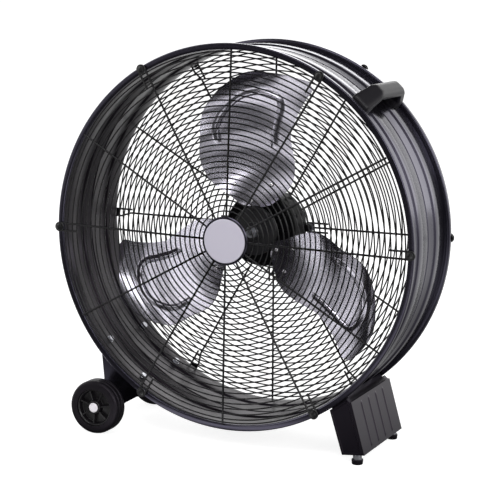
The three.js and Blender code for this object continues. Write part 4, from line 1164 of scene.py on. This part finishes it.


# ---- Floor, light and camera ----
# A pale floor and studio, lit by five soft panels. Both are white to the camera only: other rays see them
# dark in front, and bright behind and in patches.
# The floor's patches are a painted reflection, a glow placed for what blades and drum mirror in this one
# view, with painted shade round the drum and the fan's back. The long lens stands slightly above, to the
# fan's front and right.
floor_finish, tree, spot = new_finish("white_studio_floor")
seen = add_node(tree, "ShaderNodeLightPath")
place = add_node(tree, "ShaderNodeSeparateXYZ", {"Vector": spot})
measures = {"x": place.outputs["X"], "y": place.outputs["Y"]}
for name, operation, vector in (
        ("to_rear", "DOT_PRODUCT", (0.34, 0.94, 0)), ("to_right", "DOT_PRODUCT", (0.905, -0.425, 0)),
        ("off_back", "DISTANCE", (0.15, 0.3, 0)), ("off_drum", "DISTANCE", (0, -0.02, 0)),
        ("off_foot", "DISTANCE", (-0.1, -0.08, 0))):
    distance = add_node(tree, "ShaderNodeVectorMath", {0: spot, 1: vector}, operation=operation)
    measures[name] = distance.outputs["Value"]
# Painted reflection: each patch of the floor's glow is the product of its ramps (measure, from, to, level
# there, level here),
# and the brightest patch counts: behind the fan, far left, a strip to the right, under the feet, and near
# left.
# The ramps near the drum and the fan's back dim the glow there as painted shade.
PAINTED_REFLECTION_PATCHES = [
    [("to_rear", -0.15, 0.25, 0.07, 0.9), ("off_back", 0.3, 0.9, 0.4, 1.0),
     ("off_drum", 0.22, 0.36, 0.1, 1.0)],
    [("to_right", -0.95, -0.65, 1.0, 0.07)],
    [("x", 0.0, 0.12, 0.0, 1.0), ("x", 0.35, 1.0, 1.7, 0.1), ("y", -0.65, -0.4, 1.0, 0.0)],
    [("off_foot", 0.2, 0.3, 2.0, 0.0), ("y", -0.16, -0.2, 0.0, 1.0)],
    [("x", -0.44, -0.37, 1.3, 0.0), ("y", -0.45, -0.3, 0.0, 1.0)]]
painted_glow_level = None
for ramps in PAINTED_REFLECTION_PATCHES:
    patch = None
    for measure, start, end, low, high in ramps:
        ramp = add_node(tree, "ShaderNodeMapRange", {
            "Value": measures[measure], "From Min": start, "From Max": end, "To Min": low, "To Max": high})
        patch = add_node(tree, "ShaderNodeMath", {0: patch, 1: ramp}, operation="MULTIPLY") if patch else ramp
    painted_glow_level = add_node(tree, "ShaderNodeMath", {0: painted_glow_level, 1: patch}, operation="MAXIMUM") if painted_glow_level else patch
matt = add_node(tree, "ShaderNodeBsdfDiffuse", {"Color": linear("#fdfdfd")})
bright = add_node(tree, "ShaderNodeEmission", {"Color": (1, 1, 1, 1), "Strength": 1.7})
swept_up = add_node(tree, "ShaderNodeMixShader", {0: 0.5, 1: matt, 2: bright})
# Painted reflection: for every ray but the camera's, the floor glows at the patched level.
painted_reflection_glow = add_node(tree, "ShaderNodeEmission", {"Color": (1, 1, 1, 1), "Strength": painted_glow_level})
either = add_node(tree, "ShaderNodeMixShader", {0: seen.outputs["Is Camera Ray"], 1: painted_reflection_glow,
                                                2: swept_up})
add_node(tree, "ShaderNodeOutputMaterial", {"Surface": either})
floor_mesh = bpy.data.meshes.new("studio_floor")
floor_mesh.from_pydata([(-150, -150, 0), (150, -150, 0), (150, 150, 0), (-150, 150, 0)], [], [(0, 1, 2, 3)])
floor_mesh.materials.append(floor_finish)
floor = bpy.data.objects.new("studio_floor", floor_mesh)
stage_scene.collection.objects.link(floor)
floor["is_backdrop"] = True

studio = bpy.data.worlds.new("white_studio")
stage_scene.world = studio
studio.use_nodes = True
tree = studio.node_tree
tree.nodes.clear()
seen = add_node(tree, "ShaderNodeLightPath")
way = add_node(tree, "ShaderNodeTexCoord").outputs["Generated"]
off_front = add_node(tree, "ShaderNodeVectorMath", {0: way, 1: (-0.1, -0.98, 0.1)}, operation="DISTANCE")
sides = add_node(tree, "ShaderNodeMapRange", {
    "Value": off_front.outputs["Value"], "From Min": 0.45, "From Max": 0.9, "To Min": 0.07, "To Max": 1.0})
height = add_node(tree, "ShaderNodeSeparateXYZ", {"Vector": way}).outputs["Z"]
low_sky = add_node(tree, "ShaderNodeMapRange", {"Value": height, "From Min": 0.45, "From Max": 0.8,
                                                "To Min": 1.2, "To Max": 0.2})
level = add_node(tree, "ShaderNodeMath", {0: sides, 1: low_sky},
                 operation="MULTIPLY")
patterned = add_node(tree, "ShaderNodeBackground", {"Color": (1, 1, 1, 1), "Strength": level})
white = add_node(tree, "ShaderNodeBackground", {"Color": (1, 1, 1, 1), "Strength": 1.0})
either = add_node(tree, "ShaderNodeMixShader", {0: seen.outputs["Is Camera Ray"], 1: patterned,
                                                2: white})
add_node(tree, "ShaderNodeOutputWorld", {"Surface": either})


def soft_panel(name, at, aim, width, height, watts):
    light = bpy.data.lights.new(name, "AREA")
    light.shape, light.size, light.size_y, light.energy = "RECTANGLE", width, height, watts
    lamp = bpy.data.objects.new(name, light)
    lamp.location = at
    lamp.rotation_euler = (Vector(aim) - Vector(at)).to_track_quat("-Z", "Y").to_euler()
    lamp.visible_camera = False
    stage_scene.collection.objects.link(lamp)


soft_panel("rear_right_panel", (2.6, 2.6, 1.6), (0, 0, 0.35), 2.6, 2.4, 26)
soft_panel("rear_high_panel", (-0.7, 2.5, 1.5), (0, 0, 0.35), 1.7, 0.8, 11)
soft_panel("front_left_panel", (-2.4, -2.2, 1.8), (0, 0, 0.35), 2.0, 1.6, 14)
soft_panel("front_top_panel", (0.3, -2.2, 3.0), (0, 0, 0.35), 2.0, 1.4, 40)
soft_panel("front_right_panel", (2.2, -2.4, 1.6), (0, 0, 0.35), 2.0, 1.2, 34)

LENS_MM, CAMERA_AWAY = 120.84, 2.8228
TURN, RISE, ROLL = math.radians(25.18), math.radians(9.40), math.radians(0.43)
AIM = Vector((0, -0.098, 0.361))
back = Vector((math.sin(TURN) * math.cos(RISE), -math.cos(TURN) * math.cos(RISE), math.sin(RISE)))
side = Vector((0, 0, 1)).cross(back).normalized()
above = back.cross(side)
right = side * math.cos(ROLL) + above * math.sin(ROLL)
above = above * math.cos(ROLL) - side * math.sin(ROLL)
long_lens = bpy.data.cameras.new("long_lens")
long_lens.lens, long_lens.sensor_width, long_lens.sensor_fit = LENS_MM, 36, "HORIZONTAL"
long_lens.shift_x, long_lens.shift_y = 0.0453, -0.0195
long_lens.clip_end = 500
camera = bpy.data.objects.new("camera", long_lens)
standpoint = Matrix((right, above, back)).transposed().to_4x4()
standpoint.translation = AIM + back * CAMERA_AWAY
camera.matrix_world = standpoint
stage_scene.collection.objects.link(camera)
stage_scene.camera = camera

low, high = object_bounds()
